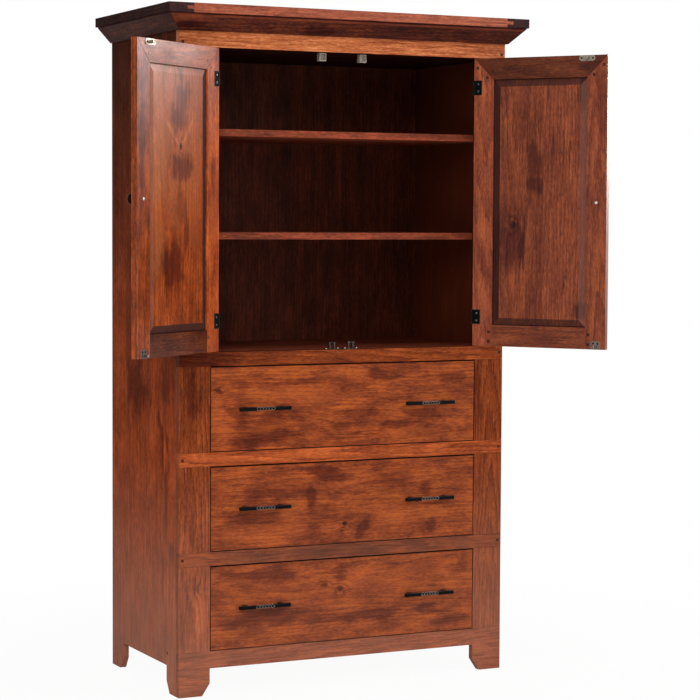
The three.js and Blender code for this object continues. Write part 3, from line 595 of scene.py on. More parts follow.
def dress(node, material, edge):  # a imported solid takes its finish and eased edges
    piece = nodes[node]
    piece.data.materials.clear()
    piece.data.materials.append(material)
    weld = piece.modifiers.new("weld", "WELD")
    weld.merge_threshold = edgeLook["weld"]
    ease = piece.modifiers.new("eased edges", "BEVEL")
    ease.width = edge
    ease.segments = edgeLook["rounds"]
    ease.limit_method = "ANGLE"
    ease.angle_limit = math.radians(edgeLook["angle"])


def dressBoard(node, stainName, lie, marks=(), joints=(), tone=1.0, fade=None, gaps=None, door=None):
    board = BoardWood(node, stainName, lie, tone, door, joints)
    for mark in marks:
        board.addMark(*mark)
    raised = door is not None and node.endswith("_panel")
    colour = board.stained()
    if joints:
        colour = board.planked(colour)
    if fade:
        colour = board.faded(colour, *fade)
    if raised:
        colour = board.sloped(colour)
    if gaps:
        colour = board.paintedGapShade(colour, gaps)
    if stainName == "side_wood":
        colour = board.stainedAndShadedInside(colour)
    if stainName in woodLook["floorSheenShare"]:
        colour = board.paintedFloorSheen(colour)
    dress(node, board.varnished(colour, raised, gaps), edgeLook["wood"])


# Marks in the wood. Each row holds the kind, its place, its half length along the grain, its half width
# across it, its strength, its turn in degrees, how ragged its edge is, and the only plank that it shows on.
# The place is from the case's left edge, and up from the floor. On the case's sides it is from the front
# instead, and on a door from the hinged edge. Joints are measured in the same way.

# Drawer fronts: one wide board each
drawerFronts = {
    "top": [
        ("knot", 0.122, 0.889, 0.017, 0.006, 0.7, 25),
        ("cloud", 0.262, 0.77, 0.105, 0.05, 0.6, -14),
        ("cloud", 0.2, 0.8, 0.06, 0.012, 0.5, 32),
        ("cloud", 0.29, 0.75, 0.09, 0.02, 0.85, -4),
        ("cloud", 0.42, 0.912, 0.09, 0.011, 0.6, -3),
        ("cloud", 0.65, 0.918, 0.05, 0.014, 0.65, 8),
        ("knot", 0.522, 0.881, 0.008, 0.006, 0.5),
        ("knot", 0.508, 0.77, 0.026, 0.014, 0.35),
        ("cloud", 0.696, 0.768, 0.055, 0.012, 0.6),
        ("cloud", 0.767, 0.808, 0.075, 0.014, 0.6, 6),
        ("cloud", 0.56, 0.812, 0.09, 0.01, 0.55),
        ("cloud", 0.874, 0.914, 0.08, 0.014, 0.6),
        ("cloud", 0.163, 0.905, 0.06, 0.012, 0.45),
        ("glow", 0.14, 0.82, 0.04, 0.07, 0.5),
        ("glow", 0.38, 0.87, 0.13, 0.03, 0.45),
    ],
    "middle": [
        ("cloud", 0.463, 0.636, 0.09, 0.018, 0.85, 10),
        ("cloud", 0.42, 0.564, 0.014, 0.03, 0.9),
        ("cloud", 0.806, 0.572, 0.022, 0.02, 0.8, -25),
        ("knot", 0.53, 0.481, 0.009, 0.0065, 1.0),
        ("knot", 0.522, 0.459, 0.007, 0.005, 0.6),
        ("cloud", 0.586, 0.455, 0.036, 0.012, 0.85, -58),
        ("cloud", 0.824, 0.466, 0.014, 0.03, 0.75),
        ("cloud", 0.264, 0.513, 0.08, 0.014, 0.45),
        ("cloud", 0.275, 0.58, 0.1, 0.018, 0.6),
        ("knot", 0.43, 0.475, 0.02, 0.014, 0.3),
        ("glow", 0.26, 0.465, 0.1, 0.022, 0.5),
        ("glow", 0.72, 0.5, 0.07, 0.03, 0.35),
    ],
    "bottom": [
        ("cloud", 0.516, 0.33, 0.024, 0.03, 0.85, 20),
        ("knot", 0.464, 0.301, 0.012, 0.007, 0.6),
        ("knot", 0.517, 0.285, 0.01, 0.008, 0.8),
        ("cloud", 0.26, 0.212, 0.1, 0.03, 0.8, 5),
        ("cloud", 0.16, 0.21, 0.035, 0.03, 0.6),
        ("cloud", 0.56, 0.197, 0.15, 0.014, 0.8, -2),
        ("cloud", 0.82, 0.2, 0.05, 0.022, 0.75, 14),
        ("knot", 0.658, 0.182, 0.02, 0.011, 0.4, 20),
        ("cloud", 0.25, 0.345, 0.12, 0.012, 0.55, 3),
        ("cloud", 0.93, 0.34, 0.02, 0.02, 0.5),
        ("cloud", 0.9, 0.165, 0.06, 0.014, 0.6),
        ("glow", 0.62, 0.31, 0.12, 0.03, 0.4),
    ],
}

for row, marks in drawerFronts.items():
    dressBoard("drawer_front_" + row, "drawer_wood", "front", marks, gaps="all")
    dressBoard("drawer_box_" + row, "box_wood", "front")
print("drawers stained")

# Face frame boards: how each lies, its tone, how its tone runs along it, and its marks
frameBoards = {
    "header_rail": ("front", 1.0, (0.98, 1.04), [("glow", 0.35, 1.925, 0.25, 0.02, 0.3)]),
    "rail_under_doors": ("front", 0.96, (0.82, 1.04), [("cloud", 0.02, 0.985, 0.15, 0.06, 1.0)]),
    "drawer_rail_upper": ("front", 1.32, (1.05, 0.95), [("glow", 0.2, 0.69, 0.2, 0.01, 0.4)]),
    "drawer_rail_lower": ("front", 0.66, (0.95, 1.05), [
        ("cloud", 0.45, 0.4, 0.28, 0.025, 0.5),
        ("glow", 0.06, 0.4, 0.07, 0.02, 0.6),
        ("glow", 0.98, 0.4, 0.05, 0.02, 0.4),
    ]),
    "base_apron": ("front", 0.98, (1.0, 1.0), [
        ("cloud", 0.26, 0.1, 0.1, 0.012, 0.5),
        ("cloud", 0.05, 0.115, 0.05, 0.014, 0.6),
    ]),
    "face_stile_left": ("post", 0.8, (1.22, 0.8), [
        ("cloud", 0.043, 0.874, 0.05, 0.018, 0.7),
        ("cloud", 0.04, 0.49, 0.05, 0.01, 0.6),
        ("knot", 0.059, 0.316, 0.012, 0.008, 0.5),
        ("cloud", 0.012, 0.25, 0.12, 0.009, 0.7),
        ("glow", 0.066, 0.24, 0.07, 0.02, 0.7),
    ]),
    "face_stile_right": ("post", 0.86, (1.02, 1.0), [("cloud", 0.98, 0.86, 0.14, 0.012, 0.5)]),
}

for node, (lie, tone, fade, marks) in frameBoards.items():
    # the header rail takes the paler copy, which is painted light
    stainName = "header_wood" if node == "header_rail" else "frame_wood"
    dressBoard(node, stainName, lie, marks, tone=tone, fade=fade, gaps="inner")
print("face frame stained")

# Case sides, glued up from a few boards, and what is inside the case
sidePanels = {
    "marks": [
        ("knot", 0.225, 0.84, 0.014, 0.007, 0.6),
        ("cloud", 0.15, 0.787, 0.045, 0.014, 0.9, -28),
        ("cloud", 0.127, 0.705, 0.06, 0.006, 0.7),
        ("cloud", 0.095, 0.735, 0.04, 0.007, 0.7, -12),
        ("glow", 0.11, 0.7, 0.045, 0.009, 0.9),
        ("cloud", 0.1, 0.54, 0.14, 0.014, 0.6),
        ("cloud", 0.13, 0.33, 0.1, 0.012, 0.6, -5),
        ("cloud", 0.06, 0.413, 0.03, 0.014, 0.8),
        ("cloud", 0.35, 0.9, 0.09, 0.07, 0.6),
        ("cloud", 0.08, 0.93, 0.07, 0.06, 0.6),
        ("cloud", 0.1, 0.17, 0.06, 0.02, 0.5),
    ],
    "marksOnRight": 3,
    "joints": (0.13, 0.262, 0.41),
    # painted light low down and painted shade high up
    "fade": (2.7, 0.3),
}
for side in doors:
    look = sidePanels
    marks = look["marks"] if side == "left" else look["marks"][:look["marksOnRight"]]
    dressBoard("side_panel_" + side, "side_wood", "side", marks, look["joints"], fade=look["fade"])

# Boards inside: how each lies, its tone and its joints. The ceiling panel's low tone is painted shade, the
# shelves' high tones painted light.
insideBoards = {
    "back_panel": ("post", 0.96, (0.16, 0.31, 0.47, 0.62, 0.78, 0.92)),
    "deck_panel": ("flat", 1.6, (0.2, 0.38)),
    "ceiling_panel": ("flat", 0.3, (0.2, 0.38)),
    "shelf_lower": ("flat", 2.9, (0.2, 0.38)),
    "shelf_upper": ("flat", 2.8, (0.2, 0.38)),
}
for node, (lie, tone, joints) in insideBoards.items():
    dressBoard(node, "inside_wood", lie, (), joints, tone)
print("case stained")

# Top board, breadboard ends and crown. The crown's front has a painted highlight, a thin pale line, under a
# painted shadow along its top edge, and a painted shadow near its left end.
topJoints = (0.06, 0.19, 0.31, 0.44)
dressBoard("top_board", "top_wood", "flat", (), topJoints)
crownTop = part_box("crown_moulding_front")[1].z
crownBoards = {
    "front": ("front", 1.0, [
        ("glow", -0.03, 1.958, 0.1, 0.022, 1.0),
        # painted highlight on the crown's top edge
        ("glow", 0.5, crownTop - 0.0076, 1.1, 0.0028, 2.0, 0, 0),
        # painted shadow under the top board
        ("cloud", 0.5, crownTop, 1.2, 0.0045, 1.0, 0, 0),
        # painted shadow
        ("cloud", 0.035, 1.935, 0.055, 0.013, 1.0, 6),
        ("cloud", 0.42, 1.935, 0.05, 0.014, 0.7),
    ]),
    "left": ("rake", 0.8, ()),
    "right": ("rake", 0.9, ()),
}
for end, (lie, tone, marks) in crownBoards.items():
    dressBoard("crown_moulding_" + end, "crown_wood", lie, marks, tone=tone)
    if end != "front":
        dressBoard("breadboard_end_" + end, "end_wood", "cap", tone=0.85)
print("top and crown stained")

# Doors: each board's lie, tone, marks and joints
doorBoards = {
    "left": {
        "hinge_stile": ("post", 1.5, [("cloud", 0.03, 1.507, 0.05, 0.012, 0.5)], ()),
        "free_stile": ("post", 0.95, [("cloud", 0.41, 1.6, 0.16, 0.014, 0.45)], ()),
        "top_rail": ("front", 0.98, [], ()),
        "bottom_rail": ("front", 0.4, [], ()),
        "panel": ("post", 0.95, [
            ("knot", 0.204, 1.587, 0.011, 0.007, 0.9),
            ("cloud", 0.228, 1.655, 0.06, 0.016, 0.5, 10),
            ("cloud", 0.173, 1.66, 0.055, 0.016, 0.5, -14),
            ("cloud", 0.205, 1.7, 0.085, 0.04, 0.9),
            ("glow", 0.245, 1.622, 0.06, 0.009, 0.8, -46, 0.5),
            ("glow", 0.165, 1.63, 0.062, 0.0085, 0.8, 38, 0.5),
            ("glow", 0.2, 1.6, 0.24, 0.12, 0.35),
            ("cloud", 0.2, 1.53, 0.034, 0.055, 0.85),
            ("cloud", 0.175, 1.351, 0.06, 0.014, 0.7),
            ("cloud", 0.24, 1.26, 0.08, 0.05, 0.85, 15),
            ("cloud", 0.2, 1.42, 0.05, 0.03, 0.5),
            ("glow", 0.19, 1.72, 0.07, 0.03, 0.5),
            ("glow", 0.33, 1.6, 0.3, 0.05, 0.65, 0, 1.0, 2),
        ], (0.287, 0.122)),
    },
    "right": {
        "hinge_stile": ("post", 1.35, [
            ("glow", 0.032, 1.358, 0.03, 0.02, 0.7),
            ("cloud", 0.03, 1.26, 0.04, 0.014, 0.35),
        ], ()),
        "free_stile": ("post", 1.08, [("cloud", 0.42, 1.72, 0.09, 0.016, 0.4)], ()),
        "top_rail": ("front", 0.52, [], ()),
        "bottom_rail": ("front", 0.88, [], ()),
        "panel": ("post", 0.98, [
            ("cloud", 0.2, 1.56, 0.065, 0.026, 0.7, -12, 0.6, 2),
            ("cloud", 0.206, 1.495, 0.026, 0.03, 1.0, 20, 0.6, 2),
            ("cloud", 0.128, 1.325, 0.095, 0.052, 0.95, 0, 0.45, 3),
            ("knot", 0.133, 1.373, 0.011, 0.008, 0.9),
            ("glow", 0.112, 1.37, 0.016, 0.008, 0.6, -40),
            ("cloud", 0.259, 1.58, 0.06, 0.006, 0.5),
            ("cloud", 0.352, 1.775, 0.05, 0.02, 0.9),
            ("cloud", 0.352, 1.115, 0.028, 0.022, 1.0),
            ("cloud", 0.07, 1.29, 0.04, 0.01, 0.8),
            ("glow", 0.074, 1.45, 0.09, 0.01, 0.6),
            ("knot", 0.298, 1.197, 0.009, 0.002, 0.8),
        ], (0.172, 0.228, 0.328)),
    },
}

doorStains = {"left": "left_door_wood", "right": "door_wood"}
for side, boards in doorBoards.items():
    for part, (lie, tone, marks, joints) in boards.items():
        dressBoard("door_" + side + "_" + part, doorStains[side], lie, marks, joints, tone, door=side)
print("doors stained")


# Metals and plastic. grain is the scale of the surface's unevenness; the edges are paler, partly rubbed and
# partly a painted highlight, and the argument after bump is their width.
def fitting(colour, wornAndHighlighted, rough, grain, bump=0.1, wearAndHighlight=0.0008, metal=1.0):
    return {"colour": tint(*colour), "wornAndHighlighted": tint(*wornAndHighlighted), "rough": rough, "grain": grain,
            "bump": bump, "wearAndHighlight": wearAndHighlight, "metal": metal}


metals = {
    "black_iron": fitting((20, 19, 20), (84, 80, 78), 0.4, 160, 0.35, 0.0016),
    "hinge_iron": fitting((19, 23, 23), (128, 134, 130), 0.7, 420, 0.15, 0.0018),
    "leaf_screw": fitting((76, 80, 78), (176, 176, 170), 0.4, 420),
    "hole_steel": fitting((26, 23, 22), (60, 54, 50), 0.4, 420),
    "strike_steel": fitting((140, 130, 116), (220, 210, 194), 0.56, 300),
    "plate_steel": fitting((110, 94, 88), (196, 184, 176), 0.42, 300),
    "roller_steel": fitting((60, 52, 50), (160, 148, 140), 0.3, 300),
    "rubbed_iron": fitting((170, 164, 156), (226, 220, 212), 0.34, 500, 0.3),
    "screw_steel": fitting((214, 210, 202), (245, 243, 238), 0.26, 500, metal=0.95),
    "catch_grey": fitting((158, 144, 132), (180, 168, 156), 0.5, 900, metal=0.0),
}


fittingLook = {
    "broad": 0.25,  # the scale of its patches and of its tooth, against the grain
    "tooth": 4,
    "wearAndHighlight": (0.12, 0.7),
    "wearAndHighlightPatches": (0.35, 0.65, 0.2, 0.9),
    "dull": (0.35, 0.7, 0, 0.5),
    "dullTone": 0.7,
    "glossPatches": (0.3, 0.7),
    "glossSpread": (-0.05, 0.12),
    "bumpDepth": 0.0003,
}


def fittingFinish(name):
    own = metals[name]
    look = fittingLook
    s = newShader(name)
    place = s.put("TexCoord").outputs["Object"]
    broad = s.noise(place, own["grain"] * look["broad"], detail=3)
    tooth = s.noise(place, own["grain"] * look["tooth"], detail=3, roughness=0.6)
    # paler edges: partly wear, partly painted highlight
    wornAndHighlighted = s.times(s.ease(s.edges(own["wearAndHighlight"]), *look["wearAndHighlight"]), s.ease(broad, *look["wearAndHighlightPatches"]))
    base = s.mix(s.ease(broad, *look["dull"]), own["colour"], toned(own["colour"], look["dullTone"]))
    rough = s.ease(broad, *look["glossPatches"], *[own["rough"] + step for step in look["glossSpread"]])
    bump = s.bump(tooth, own["bump"], look["bumpDepth"])
    return s.coat(s.mix(wornAndHighlighted, base, own["wornAndHighlighted"]), rough, bump, metal=own["metal"])


fittings = {name: fittingFinish(name) for name in metals}

# Which finish each kind of packed fitting takes, and how far its edges are eased
fittingKinds = {
    "hinge_": ("hinge_iron", 0.0003),
    "top_strike_": ("strike_steel", 0.0004),
    "roller_strike_": ("plate_steel", 0.0003),
    "roller_catch_": ("roller_steel", 0.0003),
    "top_catch_": ("catch_grey", 0.0008),
}
for node in nodes:
    for kind, (finish, edge) in fittingKinds.items():
        if node.startswith(kind):
            dress(node, fittings[finish], edge)
print("fittings finished")


# Small shapes as (points, faces), so that copies can be placed and joined into one piece
def circle(radius, z, steps):
    turns = [2 * math.pi * i / steps for i in range(steps)]
    return [Vector((radius * math.cos(turn), radius * math.sin(turn), z)) for turn in turns]


def bandFaces(a, b, count):  # between the rings of points that begin at a and at b
    return [(a + i, a + (i + 1) % count, b + (i + 1) % count, b + i) for i in range(count)]


def stackFaces(rings, count):  # the bands between stacked rings, and a lid on each end
    faces = []
    for j in range(rings - 1):
        faces += bandFaces(j * count, (j + 1) * count, count)
    last = (rings - 1) * count
    return faces + [tuple(reversed(range(count))), tuple(range(last, last + count))]


def turnedShape(profile, steps):  # profile rows are (radius, height) from one pole to the other
    points = []
    for radius, z in profile:
        points += circle(max(radius, 1e-6), z, steps)
    return points, stackFaces(len(profile), steps)


# Screw heads, in shares of their radius and height
headLook = {"steps": 24, "brow": 0.8, "arm": 0.6, "slot": 0.15, "floor": 0.2, "taper": 0.8}


def crossHead(radius, height):  # a screw head with its cross recess
    steps = headLook["steps"]
    rim = circle(radius, 0, steps)
    brow = circle(radius * headLook["brow"], height, steps)
    a = radius * headLook["arm"]
    w = radius * headLook["slot"]
    cross = [(a, -w), (a, w), (w, w), (w, a), (-w, a), (-w, w),
             (-a, w), (-a, -w), (-w, -w), (-w, -a), (w, -a), (w, -w)]
    taper = headLook["taper"]
    upper = [Vector((x, y, height)) for x, y in cross]
    lower = [Vector((x * taper, y * taper, height * headLook["floor"])) for x, y in cross]
    count = len(cross)
    top = [tuple(steps + i for i in face) for face in tessellate_polygon([brow, upper])]
    floor = [tuple(2 * steps + count + i for i in face) for face in tessellate_polygon([lower])]
    faces = bandFaces(0, steps, steps) + top + bandFaces(2 * steps, 2 * steps + count, count) + floor
    faces.append(tuple(reversed(range(steps))))
    return rim + brow + upper + lower, faces


def easedBlock(x, y, z, ease):  # a block on the plane z = 0, its top edges chamfered
    points = []
    for a, b, c in ((x / 2, y / 2, 0), (x / 2, y / 2, z - ease), (x / 2 - ease, y / 2 - ease, z)):
        points += [Vector((a, b, c)), Vector((-a, b, c)), Vector((-a, -b, c)), Vector((a, -b, c))]
    return points, stackFaces(3, 4)


def addPiece(name, copies, material, body, stands=(), smooth=None):
    build = bmesh.new()
    for (points, faces), place in copies:
        made = [build.verts.new(place @ p) for p in points]
        for face in faces:
            build.faces.new([made[i] for i in face])
    bmesh.ops.recalc_face_normals(build, faces=build.faces)
    mesh = bpy.data.meshes.new(name)
    build.to_mesh(mesh)
    build.free()
    mesh.materials.append(material)
    if smooth:
        mesh.shade_smooth()
        mesh.set_sharp_from_angle(angle=math.radians(smooth))
    piece = bpy.data.objects.new(name, mesh)
    scene.collection.objects.link(piece)
    if stands:
        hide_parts(*stands)
    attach(piece, body)


def facing(normal, place):  # z of a small shape turned to face along normal
    turn = Vector(normal).to_track_quat("Z", "Y").to_matrix().to_4x4()
    return Matrix.Translation(place) @ turn


def inFrom(low, high, inset):  # a place near each end
    return low + inset, high - inset


# Square pegs of dark wood through the joints. Places on a door are from its edges and its top or bottom.
pegLook = {
    "size": 0.0082,
    "proud": 0.0006,
    "ease": 0.0003,
    "sunk": 0.0002,
    "doorTop": ((0.012, 0.029), (0.043, 0.058), (0.061, 0.04)),
    "doorBottom": ((0.054, 0.043), (0.054, 0.014)),
    "rails": ("header_rail", "rail_under_doors", "drawer_rail_upper", "drawer_rail_lower"),
    "railEnd": 0.0115,
    "headerRise": 0.0135,
    "sidePlug": (0.09, 0.117),
    "speck": 1400,
    "speckEase": (0.35, 0.7),
    "rough": 0.5,
    "bump": (0.3, 0.0002),
}


def pegWood(name, dull, bright, shine):
    s = newShader(name)
    speck = s.noise(s.put("TexCoord").outputs["Object"], pegLook["speck"], detail=2)
    colour = s.mix(s.ease(speck, *pegLook["speckEase"]), tint(*bright), tint(*dull))
    return s.coat(colour, pegLook["rough"], s.bump(speck, *pegLook["bump"]), shine)


pegFinish = pegWood("peg_end_grain", (42, 22, 18), (70, 36, 27), 0.1)
# on the left door the pegs have the door's varnish, and paler colours that are painted sheen
doorPegFinish = {"left": pegWood("peg_varnished_painted_sheen", (84, 44, 30), (116, 62, 42), 0.2), "right": pegFinish}
peg = easedBlock(pegLook["size"], pegLook["size"], pegLook["proud"] + pegLook["sunk"], pegLook["ease"])


def doorPegs(side):
    door = doors[side]
    back = shutSpace(side).inverted()
    spots = [(s, door["top"] - z) for s, z in pegLook["doorTop"]]
    spots += [(s, door["bottom"] + z) for s, z in pegLook["doorBottom"]]
    copies = []
    for inset, z in spots:
        for s in (inset, door["width"] - inset):
            x = door["hinged"] + door["hand"] * s
            for y, way in ((door["inner"] - pegLook["sunk"], 1), (door["outer"] + pegLook["sunk"], -1)):
                copies.append((peg, back @ facing((0, way, 0), (x, y, z))))
    addPiece("joint_pegs_door_" + side, copies, doorPegFinish[side], "door_" + side)


def framePegs():
    copies = []
    for node in pegLook["rails"]:
        low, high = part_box(node)
        z = low.z + pegLook["headerRise"] if node == "header_rail" else (low.z + high.z) / 2
        for x in inFrom(low.x, high.x, pegLook["railEnd"]):
            copies.append((peg, facing((0, -1, 0), (x, low.y + pegLook["sunk"], z))))
    addPiece("joint_pegs_frame", copies, pegFinish, "case")


def sidePlugs():
    y, z = pegLook["sidePlug"]
    plugs = []
    for x, way in ((case["left"] + pegLook["sunk"], -1), (case["right"] - pegLook["sunk"], 1)):
        plugs.append((peg, facing((way, 0, 0), (x, case["front"] + y, z))))
    addPiece("side_plugs", plugs, pegFinish, "case")


for side in doors:
    doorPegs(side)
framePegs()
sidePlugs()
print("pegs driven")

# Screws of hinges, strikes, catches and back: radii of the heads, and places on what they hold
screwLook = {
    "leaf": 0.0032,
    "strike": 0.003,
    "catch": 0.0032,
    "panel": 0.0045,
    "height": 0.0011,
    "turn": 1.5,  # the most that chance turns a head by
    "leafMiddle": 0.004,  # past the middle of the door leaf, towards the free edge
    "frameLeafIn": 0.013,
    "leafFace": 0.0015,  # the frame leaf's face, from the stile's edge
    "leafSunk": 0.00095,  # flush enough for the leaves to meet when the door shuts
    "topStrikeEnd": 0.0075,
    "topStrikeFace": 0.0019,
    "rollerStrikeEnd": 0.0085,
    "rollerStrikeFace": 0.0017,
    "rollerStrikeRise": 0.018,
    "catchEnd": 0.0065,
    "catchFace": 0.0016,
    "backInset": 0.025,
    "backRows": 7,
    "backColumns": 5,
}


def headAt(size, normal, place, back=Matrix.Identity(4)):  # back carries it to where the open door stands
    spin = Matrix.Rotation(dice.uniform(0, screwLook["turn"]), 4, "Z")
    return crossHead(screwLook[size], screwLook["height"]), back @ (facing(normal, place) @ spin)


def doorScrews(side):
    door = doors[side]
    look = screwLook
    back = shutSpace(side).inverted()
    for level in ("upper", "lower"):
        low, high = boxOf("hinge_door_leaf_" + side + "_" + level, side)
        x = (low.x + high.x) / 2 + door["hand"] * look["leafMiddle"]
        copies = [headAt("leaf", (0, 1, 0), (x, high.y, z), back)
                  for z in inFrom(low.z, high.z, (high.z - low.z) / 4)]
        addPiece("hinge_screws_" + side + "_" + level, copies, fittings["leaf_screw"],
                 "door_" + side)
    low, high = boxOf("top_strike_" + side, side)
    y = door["inner"] + look["topStrikeFace"]
    copies = [headAt("strike", (0, 1, 0), (x, y, (low.z + high.z) / 2), back)
              for x in inFrom(low.x, high.x, look["topStrikeEnd"])]
    low, high = boxOf("roller_strike_" + side, side)
    y = door["inner"] + look["rollerStrikeFace"]
    copies += [headAt("strike", (0, 1, 0), (x, y, low.z + look["rollerStrikeRise"]), back)
               for x in inFrom(low.x, high.x, look["rollerStrikeEnd"])]
    addPiece("strike_screws_" + side, copies, fittings["hole_steel"], "door_" + side)


def caseScrews(side):
    look = screwLook
    hand = doors[side]["hand"]
    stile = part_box("face_stile_" + side)
    edge = stile[1].x if side == "left" else stile[0].x
    x = edge + hand * (look["leafFace"] - look["leafSunk"])
    y = case["front"] + look["frameLeafIn"]
    for level in ("upper", "lower"):
        low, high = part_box("hinge_frame_leaf_" + side + "_" + level)
        copies = [headAt("leaf", (hand, 0, 0), (x, y, z))
                  for z in inFrom(low.z, high.z, (high.z - low.z) / 4)]
        addPiece("frame_leaf_screws_" + side + "_" + level, copies, fittings["leaf_screw"],
                 "case")
    low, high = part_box("roller_catch_" + side)
    copies = [headAt("catch", (0, 0, 1), (x, (low.y + high.y) / 2, low.z + look["catchFace"]))
              for x in inFrom(low.x, high.x, look["catchEnd"])]
    addPiece("catch_screws_" + side, copies, fittings["screw_steel"], "case")


def backScrews():  # all round the back panel
    low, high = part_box("back_panel")
    inset = screwLook["backInset"]
    rows = screwLook["backRows"]
    columns = screwLook["backColumns"]
    spots = []
    for i in range(rows):
        z = low.z + inset + (high.z - low.z - 2 * inset) * i / (rows - 1)
        spots += [(x, high.y, z) for x in inFrom(low.x, high.x, inset)]
    for i in range(1, columns - 1):
        x = low.x + inset + (high.x - low.x - 2 * inset) * i / (columns - 1)
        spots += [(x, high.y, z) for z in inFrom(low.z, high.z, inset)]
    copies = [headAt("panel", (0, 1, 0), spot) for spot in spots]
    addPiece("back_panel_screws", copies, fittings["leaf_screw"], "case")


for side in doors:
    doorScrews(side)
    caseScrews(side)
print("screws driven")

# Knobs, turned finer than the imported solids. The profile holds shares of the radius and of the reach.
knobLook = {
    "profile": (
        (0.0, 0.0), (0.6, 0.0), (0.64, 0.03), (0.62, 0.09), (0.46, 0.17), (0.39, 0.27), (0.39, 0.38),
        (0.5, 0.46), (0.74, 0.52), (0.9, 0.58), (0.98, 0.66), (1.0, 0.74), (0.97, 0.82), (0.88, 0.89),
        (0.72, 0.95), (0.5, 0.985), (0.25, 0.998), (0.0, 1.0),
    ),
    "steps": 40,
    "slack": 0.0001,
    "gap": 0.0003,
    "shankRadius": 0.0018,
    "shankSteps": 16,
    "headRadius": 0.0048,
    "smooth": 40,
}


def knob(side):
    door = doors[side]
    look = knobLook
    back = shutSpace(side).inverted()
    low, high = boxOf("door_knob_" + side, side)
    x = (low.x + high.x) / 2
    z = (low.z + high.z) / 2
    radius = (high.x - low.x) / 2 - look["slack"]
    face = door["outer"] - look["gap"]
    reach = face - low.y - look["slack"]
    turned = turnedShape([(r * radius, h * reach) for r, h in look["profile"]], look["steps"])
    through = door["inner"] - face
    shank = turnedShape([(look["shankRadius"], 0), (look["shankRadius"], through)], look["shankSteps"])
    spot = (x, face, z)
    copies = [(turned, back @ facing((0, -1, 0), spot)), (shank, back @ facing((0, 1, 0), spot))]
    addPiece("turned_knob_" + side, copies, fittings["black_iron"], "door_" + side,
             ("door_knob_" + side,), look["smooth"])
    head = crossHead(look["headRadius"], high.y - door["inner"] - look["gap"])
    spot = (x, door["inner"] + look["gap"], z)
    addPiece("knob_screw_" + side, [(head, back @ facing((0, 1, 0), spot))], fittings["screw_steel"],
             "door_" + side)


for side in doors:
    knob(side)
print("knobs turned")

# Bar pulls: square iron with four strands plaited round the middle, two winding each way
pullLook = {
    "thickness": 0.011,
    "ease": 0.0012,
    "smooth": 40,
    "leg": 0.012,
    "legInset": 0.018,
    "legSlack": 0.001,
    "legEase": 0.0005,
    "braid": 0.065,
    "braidOverlap": 0.003,
    "braidSmooth": 60,
    "core": 0.0041,
    "coreSteps": 16,
    "strand": 0.0007,
    "strands": 2,
    "lay": 0.0048,
    "over": 0.0005,
    "turns": 3.5,
    "steps": 112,
    "sides": 6,
}


def barShape(length, width):  # a square bar along x with eased edges, its middle at the origin
    e = pullLook["ease"]
    h = width / 2
    ring = [(h - e, h), (h, h - e), (h, -h + e), (h - e, -h),
            (-h + e, -h), (-h, -h + e), (-h, h - e), (-h + e, h)]
    stations = [(-length / 2, h - e), (-length / 2 + e, h), (length / 2 - e, h), (length / 2, h - e)]
    points = []
    for x, reach in stations:
        points += [Vector((x, a * reach / h, b * reach / h)) for a, b in ring]
    return points, stackFaces(len(stations), len(ring))


def strandShape(start, way):  # one strand, winding round the core and passing over and under the others
    look = pullLook
    ahead = Vector((1, 0, 0))
    points = []
    for i in range(look["steps"] + 1):
        t = i / look["steps"]
        angle = start + way * 2 * math.pi * look["turns"] * t
        weave = math.cos(look["strands"] * 2 * math.pi * look["turns"] * t + (0 if way > 0 else math.pi))
        radius = look["lay"] + look["over"] * weave
        centre = Vector(((t - 0.5) * look["braid"], radius * math.cos(angle), radius * math.sin(angle)))
        out = Vector((0, math.cos(angle), math.sin(angle)))
        for k in range(look["sides"]):
            spin = 2 * math.pi * k / look["sides"]
            aside = math.cos(spin) * out + math.sin(spin) * ahead.cross(out)
            points.append(centre + look["strand"] * aside)
    return points, stackFaces(look["steps"] + 1, look["sides"])


def barPull(row, side):
    look = pullLook
    node = "drawer_pull_" + row + "_" + side
    low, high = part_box(node)
    middle = Vector(((low.x + high.x) / 2, low.y + look["thickness"] / 2, (low.z + high.z) / 2))
    length = high.x - low.x
    plain = (length - look["braid"]) / 2 + look["braidOverlap"]
    copies = []
    for hand in (-1, 1):
        x = middle.x + hand * (length - plain) / 2
        copies.append((barShape(plain, look["thickness"]), Matrix.Translation((x, middle.y, middle.z))))
        legX = middle.x + hand * (length / 2 - look["legInset"] - look["leg"] / 2)
        legWidth = look["thickness"] - look["legSlack"]
        leg = easedBlock(look["leg"], legWidth, high.y - middle.y, look["legEase"])
        copies.append((leg, facing((0, -1, 0), (legX, high.y, middle.z))))
    core = turnedShape([(look["core"], 0), (look["core"], look["braid"])], look["coreSteps"])
    copies.append((core, facing((1, 0, 0), middle - Vector((look["braid"] / 2, 0, 0)))))
    addPiece("pull_bar_" + row + "_" + side, copies, fittings["black_iron"], "drawer_" + row,
             (node,), look["smooth"])
    braid = []
    for way in (-1, 1):
        for k in range(look["strands"]):
            start = 2 * math.pi * (k + 0.5) / look["strands"]
            braid.append((strandShape(start, way), Matrix.Translation(middle)))
    addPiece("pull_braid_" + row + "_" + side, braid, fittings["rubbed_iron"], "drawer_" + row,
             (), look["braidSmooth"])


for row in drawerFronts:
    for side in doors:
        barPull(row, side)
print("pulls forged")

# Dovetails where the drawer boxes' sides meet their fronts and backs
dovetailLook = {
    "count": 4,
    "wide": 0.018,
    "narrow": 0.011,
    "wall": 0.015,
    "proud": 0.00025,
    "sunk": 0.0002,
    "pale": (150, 108, 68),
    "dull": (122, 84, 52),
    "dark": (92, 60, 36),
    "rings": (60, (1, 0.2, 3)),
    "ringEase": (0.35, 0.65),
    "speck": 900,
    "speckEase": (0.45, 0.75, 0, 0.4),
    "rough": 0.6,
    "bump": (0.2, 0.0002),
}


